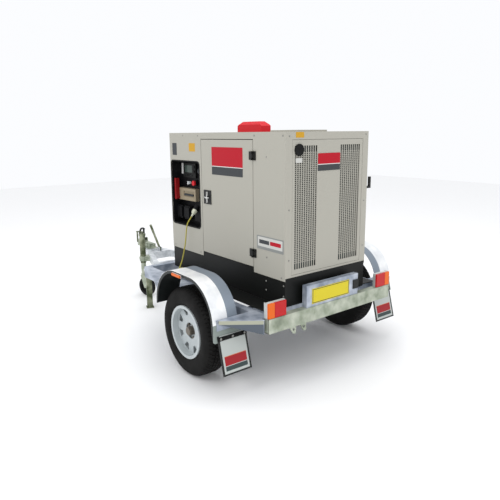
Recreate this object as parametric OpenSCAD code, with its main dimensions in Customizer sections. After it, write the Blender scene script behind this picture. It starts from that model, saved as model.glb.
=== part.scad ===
// Towable diesel generator: a canopied set standing on a single-axle trailer.
// Millimetres. +X towards the rear, +Y towards the trailer's right, +Z up.
// The origin is on the ground, in the middle of the trailer's length and width.

/* [Trailer] */
// Length from the coupling's nose to the rear beam
trailer_l = 3080; // [2900:10:3400]
// Width of the chassis frame over its rails
frame_w = 1208; // [1150:2:1400]
// Height of the deck above the ground
deck_z = 536; // [500:1:640]
// Height of the rails and of the rear beam
rail_h = 98; // [80:1:120]
// Width of a rail
rail_w = 50; // [40:1:70]
// Wall of the steel tubes
tube_t = 5; // [3:0.5:8]
// Distance that the rear beam stands behind the canopy
beam_out = 80; // [60:1:200]
// Distance that the rails run ahead of the canopy
rail_ahead = 178; // [120:1:260]
// Height of the drawbar legs
draw_h = 75; // [60:1:100]
// Plate thickness of decks, guards and brackets
plate = 3; // [2:0.5:6]

/* [Wheels] */
// Distance from the canopy's rear face forward to the axle
axle_back = 550; // [480:1:760]
// Outer diameter of a tyre
tyre_d = 641.4; // [600:0.2:700]
// Width of a tyre
tyre_w = 190; // [160:1:205]
// Distance between the two tyres' middles
track = 1522; // [1500:1:1560]
// Diameter over the rim's flanges
rim_d = 381; // [350:1:400]
// Circle that the wheel nuts stand on
stud_pcd = 108; // [100:0.5:120]
// Side of the square axle beam
axle_side = 45; // [40:1:60]

/* [Guards] */
// Width of a mudguard
guard_w = 192; // [180:1:200]
// Length of a mudguard along the trailer
guard_l = 748; // [720:1:860]
// Radius of a mudguard's rounded corners
guard_r = 280; // [240:1:320]
// Height of a mudguard's top
guard_z = 763; // [745:1:900]
// Distance that a mudguard's middle stands behind the axle
guard_shift = 51; // [20:1:60]

/* [Canopy] */
// Length of the canopy
can_l = 1462; // [1400:1:1760]
// Width of the canopy
can_w = 797; // [740:1:960]
// Height of the roof above the ground
can_top = 1697; // [1600:1:2000]
// Thickness of the canopy's sheets
sheet = 3; // [2:0.5:5]
// Length of a door
door_l = 642; // [560:1:700]
// Distance from the canopy's rear face forward to the door
door_back = 333; // [300:1:380]
// Clearance round a door
door_gap = 5; // [3:0.5:8]
// Depth of a door's folded edge
door_t = 25; // [18:1:35]

/* [Generator base] */
// Height of the set's base frame
base_h = 212; // [180:1:240]
// Thickness of the feet between the base frame and the chassis
foot_t = 12; // [8:1:30]

/* [Hidden] */
$fn = 64;
eps = 0.01;
run = 0.05;                            // running clearance on a radius
half_w = frame_w / 2;
nose_x = -trailer_l / 2;
rear_x = trailer_l / 2 - beam_out;     // the canopy's rear face
front_x = rear_x - can_l;              // the canopy's front face
rail_x0 = front_x - rail_ahead;
beam_w = 50;
rail_x1 = rear_x + beam_out - beam_w;
rail_z = deck_z - rail_h;
axle_x = rear_x - axle_back;
axle_z = tyre_d / 2;
wheel_y = track / 2;

// drawbar: each leg's outer line runs from a rail to the apex
leg_x0 = front_x + 252;
apex_x = nose_x + 310;
apex_y = 66;
leg_w = 50;
leg_a = atan((half_w - apex_y) / (leg_x0 - apex_x));
leg_in = leg_w / cos(leg_a);
function leg_y(x) = apex_y + (x - apex_x) * tan(leg_a);

// generator base and canopy
base_z = deck_z + foot_t;
base_top = base_z + base_h;
can_y = can_w / 2;
in_y = can_y - sheet;
skirt_z = base_top - 33;
door_z0 = base_top + door_gap;
door_z1 = can_top - 52;
door_x1 = rear_x - door_back;
door_x0 = door_x1 - door_l;
door_mid = (door_z0 + door_z1) / 2;
hinge_r = 5;
hinge_x = door_x1 + door_gap / 2;
hinge_y = can_y + 9;
hinge_zs = [door_z0 + 100, door_z1 - 105];

// engine line
crank_z = base_top + 225;
engine_x0 = rear_x - 900;
engine_x1 = rear_x - 450;
mount_h = 40;

// control recess in the left side, ahead of the door
rec_x0 = front_x + 17;
rec_w = 434;
rec_z0 = base_top + 185;
rec_h = 524;
rec_d = 90;
rec_t = 2.5;
rec_back = -can_y + rec_d;
box_x = front_x + 27;
box_z = rec_z0 + 203;
box_w = 279;
box_h = 92;
box_d = 40;
box_y = rec_back - box_d;
stop_x = front_x + 272;
stop_z = rec_z0 + 345;
key_x = stop_x - 104;
key_z = stop_z - 4;

// jockey wheel, clamped to the outside of the left drawbar leg
jock_r = 30;
jock_t = 4;
jock_gap = 64;                         // from the leg's face to the tube's middle
jock_x = apex_x + 255;
jock_y = -leg_y(jock_x) - jock_gap / cos(leg_a);
jock_z0 = 355;
jock_z1 = 665;
crown_z = 237;                         // top of the castor's crown
castor_a = 20;                         // way the wheel trails at rest
jw_r = 100;
jw_w = 50;
jw_trail = 38;
jw_z = jw_r + 2;                       // the support leg carries the load
clamp_z = rail_z - draw_h / 2;

// support leg on the same drawbar leg
prop_x = apex_x + 660;
prop_z = 385;
prop_gap = 65;
prop_y = -leg_y(prop_x) - prop_gap / cos(leg_a);
prop_side = 52;
foot_w = 70;

// lead from the plug to the gland in the base frame
lead_d = 10;
gland_x = rear_x - 1230;
gland_z = base_z + 34;
lead_route = [
    [335, -412, 1028], [335, -418.2, 1020.15], [332, -426, 1008], [326, -433, 994],
    [318, -438, 978], [311, -441, 960], [305, -443, 940], [301, -445, 915], [299, -447, 890],
    [298, -450, 860], [296, -453, 825], [292, -457, 790], [286, -461, 755], [279, -465, 720],
    [272, -470, 685], [266, -477, 652], [262, -487, 622], [261, -502, 594], [261, -523, 569],
    [259, -548, 553], [252, -572, 544], [239, -588, 541.3], [222, -594, 541.3],
    [206, -588, 541.3], [197, -572, 542], [195, -551, 546], [200, -528, 554],
    [209, -507, 563], [219, -489, 572], [226, -474, 578.5], [229.5, -464, 581.5],
    [230, -457, 582], [230, -450, 582]];

// the plug's cable end, in front of the socket in use
plug_at = [front_x + 337, rec_back - 103.5, rec_z0 + 83];
sock_x = plug_at[0];

// ---------- shared shapes ----------

// A box given by its lowest corner and its size
module at(x, y, z, size) { translate([x, y, z]) cube(size); }

// A cylinder along X or Y, starting at the point given
module rod_x(x, y, z, r, l) { translate([x, y, z]) rotate([0, 90, 0]) cylinder(r = r, h = l); }
module rod_y(x, y, z, r, l) { translate([x, y, z]) rotate([-90, 0, 0]) cylinder(r = r, h = l); }
module rod_z(x, y, z, r, l) { translate([x, y, z]) cylinder(r = r, h = l); }

// A rectangular tube along X or Y
module tube_x(x, y, z, l, w, h, t) {
    difference() {
        at(x, y, z, [l, w, h]);
        at(x - 1, y + t, z + t, [l + 2, w - 2 * t, h - 2 * t]);
    }
}
module tube_y(x, y, z, w, l, h, t) {
    difference() {
        at(x, y, z, [w, l, h]);
        at(x + t, y - 1, z + t, [w - 2 * t, l + 2, h - 2 * t]);
    }
}

// A plate drawn in X and Z, standing between y and y + t
module plate_xz(y, t) { translate([0, y + t, 0]) rotate([90, 0, 0]) linear_extrude(t) children(); }
// A plate drawn in Y and Z, standing between x and x + t
module plate_yz(x, t) {
    translate([x, 0, 0]) rotate([90, 0, 90]) linear_extrude(t) children();
}
// A rectangle with rounded corners, by its lowest corner
module round_rect(x, y, w, h, r) {
    translate([x + r, y]) square([w - 2 * r, h]);
    translate([x, y + r]) square([w, h - 2 * r]);
    for (i = [0, 1], j = [0, 1]) {
        translate([i ? x + w - r : x + r, j ? y + h - r : y + r]) circle(r);
    }
}
// A tube swept along a list of points, as one closed mesh
function unit(v) = v / norm(v);
function tangent(p, i) = unit(p[min(i + 1, len(p) - 1)] - p[max(i - 1, 0)]);
module sweep(p, r, sides) {
    rings = [for (i = [0:len(p) - 1]) let (t = tangent(p, i), u = unit(cross([1, 0.2, 0], t)),
        v = cross(t, u)) for (k = [0:sides - 1])
        p[i] + r * (cos(360 * k / sides) * u + sin(360 * k / sides) * v)];
    faces = [for (i = [0:len(p) - 2], k = [0:sides - 1]) let (n = (k + 1) % sides)
        [i * sides + k, i * sides + n, (i + 1) * sides + n, (i + 1) * sides + k]];
    ends = [[for (k = [sides - 1:-1:0]) k],
        [for (k = [0:sides - 1]) (len(p) - 1) * sides + k]];
    polyhedron(rings, [for (f = concat(faces, ends)) [for (j = [len(f) - 1:-1:0]) f[j]]], 4);
}

// ---------- trailer ----------

module chassis_frame() {
    color("lightsteelblue") union() {
        for (s = [-1, 1]) {
            tube_x(rail_x0, s > 0 ? half_w - rail_w : -half_w, rail_z,
                rail_x1 - rail_x0, rail_w, rail_h, tube_t);
            // front step deck, from the rail out to the mudguard
            front_deck(s);
            rear_deck(s);
        }
        for (x = [rail_x0, rear_x - 1180, rear_x - 760, rear_x - 210]) {
            tube_y(x, -half_w + rail_w, rail_z, 50, frame_w - 2 * rail_w, rail_h, tube_t);
        }
    }
}
guard_mid = axle_x + guard_shift;
guard_c = guard_l / 2 - guard_r;       // half the flat length of a mudguard's top
guard_cz = guard_z - guard_r;
guard_out = wheel_y + tyre_w / 2 + 34.5;
guard_in = guard_out - guard_w;
fix_h = 20;                            // straight edge by which a mudguard is held
guard_x0 = guard_mid - guard_l / 2;
guard_x1 = guard_mid + guard_l / 2;
module front_deck(s) {
    y0 = s > 0 ? half_w : -guard_out + 20;
    translate([0, 0, deck_z - plate]) linear_extrude(plate)
        polygon([[guard_x0, s * half_w], [guard_x0, s * (guard_out - 20)], [rail_x0 + 100, s * half_w]]);
    // flange that the mudguard's front edge is fixed to
    at(guard_x0 - plate, y0, guard_cz - fix_h, [plate, guard_out - 20 - half_w, deck_z - guard_cz + fix_h]);
}
module rear_deck(s) {
    x0 = guard_x1;
    xb = rail_x1 + beam_w;
    edge_y = guard_out - 20 - half_w;
    edge_l = norm([xb - x0, edge_y]);
    turn = atan2(edge_y, xb - x0);
    translate([0, 0, deck_z - plate]) linear_extrude(plate) difference() {
        polygon([[x0, s * half_w], [xb, s * half_w], [x0, s * (half_w + edge_y)]]);
        translate([rail_x1, s > 0 ? half_w - 1 : -half_w - 20]) square([beam_w + 1, 21]);
    }
    // flange that the mudguard's rear edge is fixed to
    at(x0, s > 0 ? half_w : -half_w - edge_y + 6, bend_z, [plate, edge_y - 6, deck_z - bend_z]);
    // the edge plate under the sloping side, deeper towards the beam
    difference() {
        translate([xb, s * half_w, 0]) rotate([0, 0, s > 0 ? 180 - turn : 180 + turn])
            translate([30, s > 0 ? 0 : -4, 0]) rotate([90, 0, 0]) mirror([0, 0, 1])
            linear_extrude(4) polygon([[0, deck_z - 1], [edge_l - 50, deck_z - 1],
                [edge_l - 50, deck_z - 26], [0, rail_z]]);
        at(rail_x1 - 1, s > 0 ? half_w - 60 : -half_w - 22, rail_z - 1, [beam_w + 2, 82, rail_h]);
    }
}

lug_w = 68;
lug_ys = [-401, -307];
lug_drop = 71;
module rear_beam() {
    color("darkseagreen") difference() {
        union() {
            tube_y(rail_x1, -half_w, rail_z, beam_w, frame_w, rail_h, tube_t);
            for (y = lug_ys) {
                plate_yz(rail_x1, 10) polygon([[y, rail_z + eps], [y + lug_w, rail_z + eps],
                    [y + lug_w, rail_z - lug_drop], [y + lug_w - 22, rail_z - lug_drop]]);
            }
        }
        for (y = lug_ys) rod_x(rail_x1 - 10, y + lug_w - 22, rail_z - 40, 9, 40);
    }
}

module drawbar_leg(s) {
    wall_y = tube_t / cos(leg_a);
    x0 = apex_x + 70;
    x1 = leg_x0 + 1;
    difference() {
        translate([0, 0, rail_z - draw_h]) linear_extrude(draw_h) polygon([
            [apex_x, s * apex_y], [leg_x0, s * half_w], [leg_x0, s * (half_w - leg_in)],
            [apex_x, s * (apex_y - leg_in)]]);
        translate([0, 0, rail_z - draw_h + tube_t]) linear_extrude(draw_h - 2 * tube_t) polygon([
            [x0, s * (leg_y(x0) - wall_y)], [x1, s * (leg_y(x1) - wall_y)],
            [x1, s * (leg_y(x1) - leg_in + wall_y)], [x0, s * (leg_y(x0) - leg_in + wall_y)]]);
    }
}
module leg_cross(x, w) {
    translate([0, 0, rail_z - draw_h]) linear_extrude(draw_h) polygon([
        [x, leg_y(x) - leg_in + 1], [x + w, leg_y(x + w) - leg_in + 1],
        [x + w, -leg_y(x + w) + leg_in - 1], [x, -leg_y(x) + leg_in - 1]]);
}
lever_x = apex_x + 200;
module drawbar() {
    color("lightgray") difference() {
        union() {
            for (s = [-1, 1]) drawbar_leg(s);
            leg_cross(apex_x + 630, 40);
            leg_cross(apex_x + 800, 40);
            leg_cross(apex_x, 60);
            // plate under the coupling
            at(apex_x - 60, -apex_y, rail_z - 10, [60 + eps, 2 * apex_y, 10]);
            // bracket of the brake lever
            for (y = [-14, 8]) at(lever_x - 20, y, rail_z - 20, [40, 6, 65]);
            leg_cross(lever_x - 35, 70);
            // bracket and pin of the support leg
            on_prop() {
                at(-28, prop_side / 2 + 1, rail_z - draw_h, [56, prop_gap - prop_side / 2 + 3, 50]);
                rod_y(0, -prop_side / 2 - 10, prop_z, 8, prop_side + 20);
                rod_y(0, -prop_side / 2 - 16, prop_z, 14, 12);
            }
        }
        rod_y(lever_x, -20, rail_z + 30, 6 + run, 40);
        for (x = coupling_bolts, y = [-32, 32]) rod_z(apex_x + x, y, rail_z - draw_h - 1, 8.5, draw_h + 2);
    }
}

coupling_bolts = [-30, 30];
ball_r = 25.4;
ball_x = nose_x + 62;
cup_z = rail_z + 44;
module coupling_body() {
    color("silver") difference() {
        union() {
            at(apex_x - 60, -55, rail_z, [120, 110, 10]);
            at(nose_x + 90, -34, rail_z, [apex_x - nose_x - 60, 68, 52]);
            rod_z(ball_x, 0, rail_z - 6, 40, 66);
            at(ball_x, -34, rail_z, [60, 68, 52]);
            translate([nose_x + 24, 0, rail_z]) cylinder(r = 24, h = 30);
            // ears of the latch
            for (y = [-34, 26]) at(ball_x + 60, y, rail_z + 40, [50, 8, 52]);
        }
        rod_z(ball_x, 0, rail_z - 10, ball_r, 10 + 40);
        rod_z(ball_x + 130, 0, rail_z + 10 + eps, 20, 60);
        rod_y(ball_x + 85, -40, rail_z + 74, 5 + run, 80);
        for (x = coupling_bolts, y = [-32, 32]) {
            rod_z(apex_x + x, y, rail_z - 1, 8.5, 60);
        }
    }
    for (x = coupling_bolts, y = [-32, 32]) {
        rod_z(apex_x + x, y, rail_z - draw_h - 12, 7.8, draw_h + 60);
        rod_z(apex_x + x, y, rail_z - draw_h - 12, 12, 12);
    }
}
module coupling_latch() {
    // an arched handle that lifts on a pin between the ears
    color("gray") difference() {
        union() {
            rod_y(ball_x + 85, -33.5, rail_z + 74, 5, 67);
            at(ball_x + 72, -20, rail_z + 62, [26, 40, 26]);
            plate_xz(-8, 16) difference() {
                translate([ball_x + 60, rail_z + 112]) circle(92);
                translate([ball_x + 60, rail_z + 112]) circle(76);
                translate([ball_x - 60, rail_z - 30]) square([240, 110]);
                translate([ball_x + 80, rail_z]) square([100, 190]);
            }
            at(ball_x + 72, -8, rail_z + 80, [16, 16, 110]);
        }
        at(ball_x - 60, -50, rail_z - 60, [260, 100, 60 + 56]);
    }
}
module brake_lever() {
    color("dimgray") {
        rod_y(lever_x, -13.9, rail_z + 30, 6, 27.8);
        difference() {
            translate([lever_x, -7, rail_z + 30]) rotate([0, -40, 0]) at(-12, 0, -20, [24, 14, 225]);
            rod_y(lever_x, -20, rail_z + 30, 6, 40);
            at(lever_x - 60, -20, rail_z - 50, [120, 40, 60]);
        }
    }
    color("firebrick") translate([lever_x, 0, rail_z + 30]) rotate([0, -40, 0])
        translate([0, 0, 205 + eps]) cylinder(r = 13, h = 95);
}

// everything of the jockey wheel stands in a frame turned along the drawbar leg
module on_leg() { translate([jock_x, jock_y, 0]) rotate([0, 0, -leg_a]) children(); }
module jockey_clamp() {
    // a ring round the outer tube, on a block fixed to the drawbar leg
    color("gray") on_leg() difference() {
        union() {
            at(-45, 12, clamp_z - 25, [90, jock_gap - 12, 50]);
            rod_z(0, 0, clamp_z - 25, jock_r + 8, 50);
            rod_x(-30, -jock_r - 2, clamp_z, 9, 60);
        }
        rod_z(0, 0, clamp_z - 40, jock_r + run, 80);
    }
}
module jockey_tube() {
    color("lightgray") on_leg() difference() {
        union() {
            rod_z(0, 0, jock_z0, jock_r, jock_z1 - jock_z0);
            rod_z(0, 0, jock_z1 - 20, jock_r + 5, 20);
        }
        rod_z(0, 0, jock_z0 - 1, jock_r - jock_t, jock_z1 - jock_z0 - 5);
        rod_z(0, 0, jock_z0, 10 + run, jock_z1 - jock_z0 + 10);
    }
}
module jockey_inner_tube() {
    color("silver") on_leg() {
        difference() {
            rod_z(0, 0, crown_z + 1, jock_r - jock_t - run, 290);
            rod_z(0, 0, crown_z + 13, 14, 300);
        }
        // castor pin and its collar, under the fork's crown
        rod_z(0, 0, crown_z - 24, 12, 25 + eps);
        rod_z(0, 0, crown_z - 28, 17, 5);
    }
}
module jockey_crank() {
    color("gray") on_leg() union() {
        rod_z(0, 0, crown_z + 145, 10, jock_z1 + 20 - crown_z - 145);
        rotate([0, 0, 206 + leg_a]) {
            at(-10, -10, jock_z1 + 14, [80, 20, 10]);
            rod_z(62, 0, jock_z1 - 92, 8, 110);
        }
    }
}
// the castor's own frame, turned the way the wheel trails
module on_castor() { on_leg() rotate([0, 0, leg_a + castor_a]) children(); }
module jockey_fork() {
    side = jw_w / 2 + 4;
    color("gray") on_castor() difference() {
        union() {
            rod_z(0, 0, crown_z - 22, 30, 22);
            at(-20, -side - 5, crown_z - 22, [jw_trail + 36, 2 * side + 10, 6]);
            for (y = [-side - 5, side]) plate_xz(y, 5) {
                translate([jw_trail, jw_z]) circle(16);
                polygon([[-20, crown_z - 20], [jw_trail + 16, crown_z - 20],
                    [jw_trail + 16, jw_z], [jw_trail - 16, jw_z]]);
            }
            rod_y(jw_trail, -side - 10, jw_z, 8, 2 * side + 20);
        }
        rod_z(0, 0, crown_z - 40, 12 + run, 60);
    }
}
module jockey_wheel() {
    color("black") on_castor() difference() {
        union() {
            rod_y(jw_trail, -jw_w / 2, jw_z, jw_r - 8, jw_w);
            rod_y(jw_trail, -jw_w / 2 + 8, jw_z, jw_r, jw_w - 16);
        }
        for (y = [-jw_w / 2 - 1, jw_w / 2 - 11]) rod_y(jw_trail, y, jw_z, 62, 12);
        rod_y(jw_trail, -jw_w, jw_z, 8 + run, 2 * jw_w);
    }
}

// the support leg's own frame, turned along the drawbar leg
module on_prop() { translate([prop_x, prop_y, 0]) rotate([0, 0, -leg_a]) children(); }
module support_leg() {
    h = prop_side / 2;
    color("olivedrab") on_prop() difference() {
        union() {
            difference() {
                at(-h, -h, 8 - eps, [2 * h, 2 * h, prop_z + 22]);
                at(-h + 4, -h + 4, 20, [2 * h - 8, 2 * h - 8, prop_z + 22]);
            }
            at(-foot_w / 2, -foot_w / 2, 0, [foot_w, foot_w, 8]);
        }
        rod_y(0, -60, prop_z, 8 + run, 120);
    }
}

// ---------- axle, springs, wheels ----------

spring_y = half_w - rail_w / 2;
hub_face = wheel_y - 34;               // the hub's flange, inside the wheel disc
module axle() {
    color("dimgray") union() {
        at(axle_x - axle_side / 2, -hub_face + 60, axle_z - axle_side / 2,
            [axle_side, 2 * hub_face - 120, axle_side]);
        for (s = [-1, 1]) rod_y(axle_x, s > 0 ? hub_face - 61 : -hub_face - 10, axle_z, 20, 71);
    }
}
module leaf_springs() {
    eye_z = rail_z - 32;
    seat = axle_z + axle_side / 2;
    color("darkslategray") for (y = [-spring_y, spring_y]) {
        // three leaves, U-bolts and the two hangers under the rail
        at(axle_x - 300, y - 22, seat + 16, [600, 44, 8]);
        at(axle_x - 210, y - 22, seat + 8, [420, 44, 8]);
        at(axle_x - 120, y - 22, seat, [240, 44, 8]);
        at(axle_x - 40, y - 30, seat + 24, [80, 60, 8]);
        at(axle_x - 40, y - 30, axle_z - axle_side / 2 - 8, [80, 60, 8]);
        for (x = [-32, 32]) rod_z(axle_x + x, y - 27, axle_z - axle_side / 2 - 16, 2.6, 96);
        for (x = [-32, 32]) rod_z(axle_x + x, y + 27, axle_z - axle_side / 2 - 16, 2.6, 96);
        for (x = [-1, 1]) {
            difference() {
                at(axle_x + x * 312 - 20, y - 25, seat + 12, [40, 50, rail_z - seat - 12]);
                at(axle_x + x * 312 - 60, y - 22.3, seat + 11, [120, 44.6, 26]);
            }
            at(axle_x + x * 306 - 8, y - 22, seat + 24, [16, 44, 13 - 0.3]);
        }
    }
}

// A solid of revolution round the axle line, drawn as [radius, y]
module about_axle(s) {
    translate([axle_x, s * wheel_y, axle_z]) rotate([s > 0 ? -90 : 90, 0, 0])
        rotate_extrude($fn = 96) children();
}
seat_r = rim_d / 2 - 13;
tw = tyre_w / 2;
crown_r = tyre_d / 2;
module tyre(s) {
    color("black") about_axle(s) difference() {
        union() {
            translate([seat_r, -tw + 20]) square([tyre_d / 2 - seat_r - 38, tyre_w - 40]);
            polygon([[crown_r - 60, -tw + 25], [crown_r - 38, -tw + 25], [crown_r - 9, -tw + 29],
                [crown_r, -tw + 45], [crown_r, tw - 45], [crown_r - 9, tw - 29],
                [crown_r - 38, tw - 25], [crown_r - 60, tw - 25]]);
            for (k = [-1, 1]) {
                translate([crown_r - 64, k * (tw - 44)]) circle(44);
                translate([crown_r - 38, k * (tw - 34)]) circle(30);
                translate([seat_r, k > 0 ? tw - 34 : -tw + 20]) square([60, 14]);
            }
        }
        translate([seat_r - 20, -tw + 34]) square([92, tyre_w - 68]);
        translate([0, -200]) square([seat_r, 400]);
        translate([seat_r - 1, tw - 20]) square([14.3, 80]);
        translate([seat_r - 1, -tw - 60]) square([14.3, 80]);
        // tread grooves
        for (k = [-38, -13, 13, 38]) translate([crown_r - 9, k - 3]) square([20, 6]);
    }
}
module rim(s) {
    color("white") about_axle(s) difference() {
        union() {
            translate([seat_r - 8, -tw + 8]) square([7.7, tyre_w - 20]);
            for (k = [-1, 1]) translate([seat_r - 8, k > 0 ? tw - 19.7 : -tw + 8])
                square([21, k > 0 ? 11.7 : 11.7]);
            translate([58, 34]) square([seat_r - 58 - 4, 6]);
            translate([33, 12]) square([60, 6]);
            translate([87, 12]) square([6, 28]);
        }
        translate([0, -100]) square([33, 200]);
    }
}
module rim_holes(s) {
    // eight rounded triangular windows between the spokes
    for (a = [0:45:315]) translate([axle_x, 0, axle_z]) rotate([0, a + 22.5, 0])
        plate_xz(s > 0 ? wheel_y + 25 : -wheel_y - 45, 20)
            polygon([[112, -13], [158, -32], [162, 0], [158, 32], [112, 13]]);
}
module stud_holes(s, r) {
    for (a = [0:72:288]) translate([axle_x, 0, axle_z]) rotate([0, a, 0])
        rod_y(stud_pcd / 2, s > 0 ? wheel_y - 60 : -wheel_y - 60, 0, r, 120);
}
module wheel_rim(s) {
    difference() {
        rim(s);
        rim_holes(s);
        stud_holes(s, 6.5);
    }
}
module hub(s) {
    color("silver") {
        about_axle(s) difference() {
            union() {
                translate([0, -60]) square([32, 114]);
                translate([0, 6]) square([70, 6]);
                translate([0, -60]) square([48, 66]);
                translate([0, 40]) square([28, 22]);
            }
            translate([-1, -61 - 26]) square([20 + run + 1, 71 + 26 + 12]);
        }
        for (a = [0:72:288]) translate([axle_x, 0, axle_z]) rotate([0, a, 0]) {
            rod_y(stud_pcd / 2, s > 0 ? wheel_y + 6 : -wheel_y - 30, 0, 6, 24);
            rod_y(stud_pcd / 2, s > 0 ? wheel_y + 18 : -wheel_y - 33, 0, 9.5, 15);
        }
    }
}

// ---------- mudguards, flaps and lamps ----------

// The mudguard's outline, smaller by the amount given
module guard_shape(inset) {
    r = guard_r - inset;
    for (k = [-1, 1]) translate([guard_mid + k * guard_c, guard_cz]) circle(r, $fn = 96);
    translate([guard_mid - guard_c, guard_cz]) square([2 * guard_c, r]);
}
lip = 22;
drop_z = 391;                          // lower edge of the sloping drop
drop_x = 18;                           // distance that the drop slopes rearwards
bend_z = guard_cz - fix_h;
flap_w = 226;
flap_y = guard_out - 248.5;
module guard_cut() {
    translate([guard_mid - guard_l, -100]) square([2 * guard_l, guard_cz + 100]);
}
module mudguard(s) {
    y_in = s > 0 ? guard_in : -guard_out;
    y_lip = s > 0 ? guard_out - plate : -guard_out;
    y_drop = s > 0 ? flap_y : -guard_out;
    drop_w = guard_out - flap_y;
    color("gainsboro") union() {
        plate_xz(y_in, guard_w) difference() {
            guard_shape(0);
            guard_shape(plate);
            guard_cut();
        }
        plate_xz(y_lip, plate) difference() {
            guard_shape(0);
            guard_shape(lip);
            guard_cut();
        }
        // short straight edges, held by the decks' flanges
        at(guard_x0, y_in, guard_cz - fix_h, [plate, guard_w, fix_h + eps]);
        at(guard_x1 - plate, y_drop, guard_cz - fix_h, [plate, drop_w, fix_h + eps]);
        at(guard_x1 - lip, y_lip, guard_cz - fix_h, [lip, plate, fix_h + eps]);
        // sloping drop behind the wheel, with its lip
        plate_xz(y_drop, drop_w) polygon([[guard_x1 - plate, bend_z + eps], [guard_x1, bend_z + eps],
            [guard_x1, bend_z], [guard_x1 + drop_x, drop_z], [guard_x1 + drop_x - plate * 1.2, drop_z],
            [guard_x1 - plate, bend_z - plate * 0.3]]);
        plate_xz(y_lip, plate) polygon([[guard_x1 - lip, bend_z + eps], [guard_x1, bend_z + eps],
            [guard_x1 + drop_x, drop_z], [guard_x1 + drop_x - lip, drop_z]]);
    }
}

flap_x = guard_x1 + drop_x + eps;
flap_z0 = 180;
flap_t = 5;
slope_a = atan(drop_x / (bend_z - drop_z));
flap_up = 40;                          // length of the flap's part on the slope
module on_slope() { translate([flap_x, 0, drop_z]) rotate([0, -slope_a, 0]) children(); }
module mud_flaps() {
    hang = (drop_z - flap_z0) / cos(slope_a);
    color("whitesmoke") on_slope() for (s = [-1, 1]) {
        at(0, s > 0 ? flap_y : -flap_y - flap_w, -hang, [flap_t, flap_w, hang + flap_up]);
    }
}
module flap_strips() {
    color("dimgray") on_slope() for (s = [-1, 1]) {
        y0 = s > 0 ? flap_y : -flap_y - flap_w;
        at(flap_t + eps, y0, 8, [4, flap_w, 26]);
        for (k = [0.12, 0.5, 0.88]) rod_x(flap_t + 4, y0 + k * flap_w, 21, 7, 5);
    }
}

mark_x = guard_mid - 111;               // side marker lamp on the mudguard's lip
lamp_l = 152;
lamp_h = 105;
lamp_y0 = half_w + 3 - lamp_l;
module lamp_housings() {
    color("gainsboro") for (s = [-1, 1]) {
        y0 = s > 0 ? lamp_y0 : -lamp_y0 - lamp_l;
        at(rail_x1 + 14, y0, deck_z, [22, lamp_l, lamp_h]);
        at(rail_x1 + 4, s > 0 ? lamp_y0 + lamp_l - 3 : -lamp_y0 - lamp_l, deck_z, [10, 3, lamp_h]);
    }
    // plate lamp beside the number plate, and the side marker lamps' bases
    color("black") at(plate_x + 2, 190, deck_z + 45, [6, 56, 66]);
    color("black") for (s = [-1, 1]) {
        at(mark_x, s > 0 ? guard_out : -guard_out - 6, guard_z - 31, [115, 6, 22]);
    }
}
module lamp_lenses() {
    for (s = [-1, 1]) {
        outer = s > 0 ? lamp_y0 + lamp_l - 52 : -lamp_y0 - lamp_l + 2;
        inner = s > 0 ? lamp_y0 + 2 : -lamp_y0 - lamp_l + 54;
        color("orange") at(rail_x1 + 36, outer, deck_z + 3, [13, 50, lamp_h - 6]);
        color("red") at(rail_x1 + 36, inner, deck_z + 3, [13, lamp_l - 56, lamp_h - 6]);
        color("orange") at(mark_x + 3, s > 0 ? guard_out + 6 : -guard_out - 14,
            guard_z - 28, [109, 8, 16]);
    }
}

plate_x = rail_x1 + beam_w - 8;
module plate_box() {
    color("slategray") difference() {
        at(plate_x - 40, -270, deck_z, [42, 514, 154]);
        at(plate_x - 36, -266, deck_z + 4, [34, 506, 146]);
        at(plate_x - 60, -230, deck_z + 4, [30, 434, 146]);
    }
}
module number_plate() {
    color("gold") difference() {
        at(plate_x + 2, -220, deck_z + 20, [3, 367, 105]);
        for (y = [-190, 117]) rod_x(plate_x, y, deck_z + 72, 3, 10);
    }
}

// ---------- generator base ----------

base_x0 = front_x + sheet;
base_l = can_l - 2 * sheet;
wall = 5;
neck_x = rear_x - 900;
neck_y = -250;
neck_r = 30;
tray_y = half_w - rail_w - 2;
module base_frame() {
    color("#222222") difference() {
        union() {
            difference() {
                at(base_x0, -in_y, base_z, [base_l, 2 * in_y, base_h]);
                at(base_x0 + wall, -in_y + wall, base_z - 1,
                    [base_l - 2 * wall, 2 * (in_y - wall), base_h - wall + 1]);
            }
            for (s = [-1, 1]) {
                at(base_x0, s > 0 ? in_y - 60 : -in_y, base_z, [base_l, 60, wall]);
                // side tray that closes the gap above the chassis rail
                at(rear_x - 900, s > 0 ? in_y - 1 : -tray_y, base_z, [880, tray_y - in_y + 1, wall]);
            }
        }
        rod_z(neck_x, neck_y, base_top - 20, neck_r + 4, 40);
        rod_y(gland_x, -in_y - 5, gland_z, 10.5, 20);
        for (x = [base_x0 + 300, base_x0 + 900]) rod_z(x, 150, base_top - 20, 20, 40);
    }
}
module mount_feet() {
    color("black") {
        for (x = [rear_x - 1170, rear_x - 750, rear_x - 200], y = [-in_y + 5, in_y - 55]) {
            difference() {
                at(x, y, deck_z, [50, 50, foot_t]);
                rod_z(x + 25, y + 25, deck_z - 1, 8, foot_t + 2);
            }
        }
        // rubber mounts under the engine and the alternator
        for (x = mount_xs, y = [-mount_y, mount_y]) rod_z(x, y, base_top, 30, mount_h);
    }
}
mount_xs = [rear_x - 1150, rear_x - 560];
mount_y = 190;
tank_z = base_z + wall + 3;
tank_h = 150;
module fuel_tank() {
    color("#1a1a1a") difference() {
        union() {
            at(rear_x - 1300, -in_y + 90, tank_z, [1050, 2 * in_y - 180, tank_h]);
            rod_z(neck_x, neck_y, tank_z + tank_h - 1, neck_r, 170);
        }
        at(rear_x - 1296, -in_y + 94, tank_z + 4, [1042, 2 * in_y - 188, tank_h - 8]);
        rod_z(neck_x, neck_y, tank_z + tank_h - 10, neck_r - 4, 200);
    }
}
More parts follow.
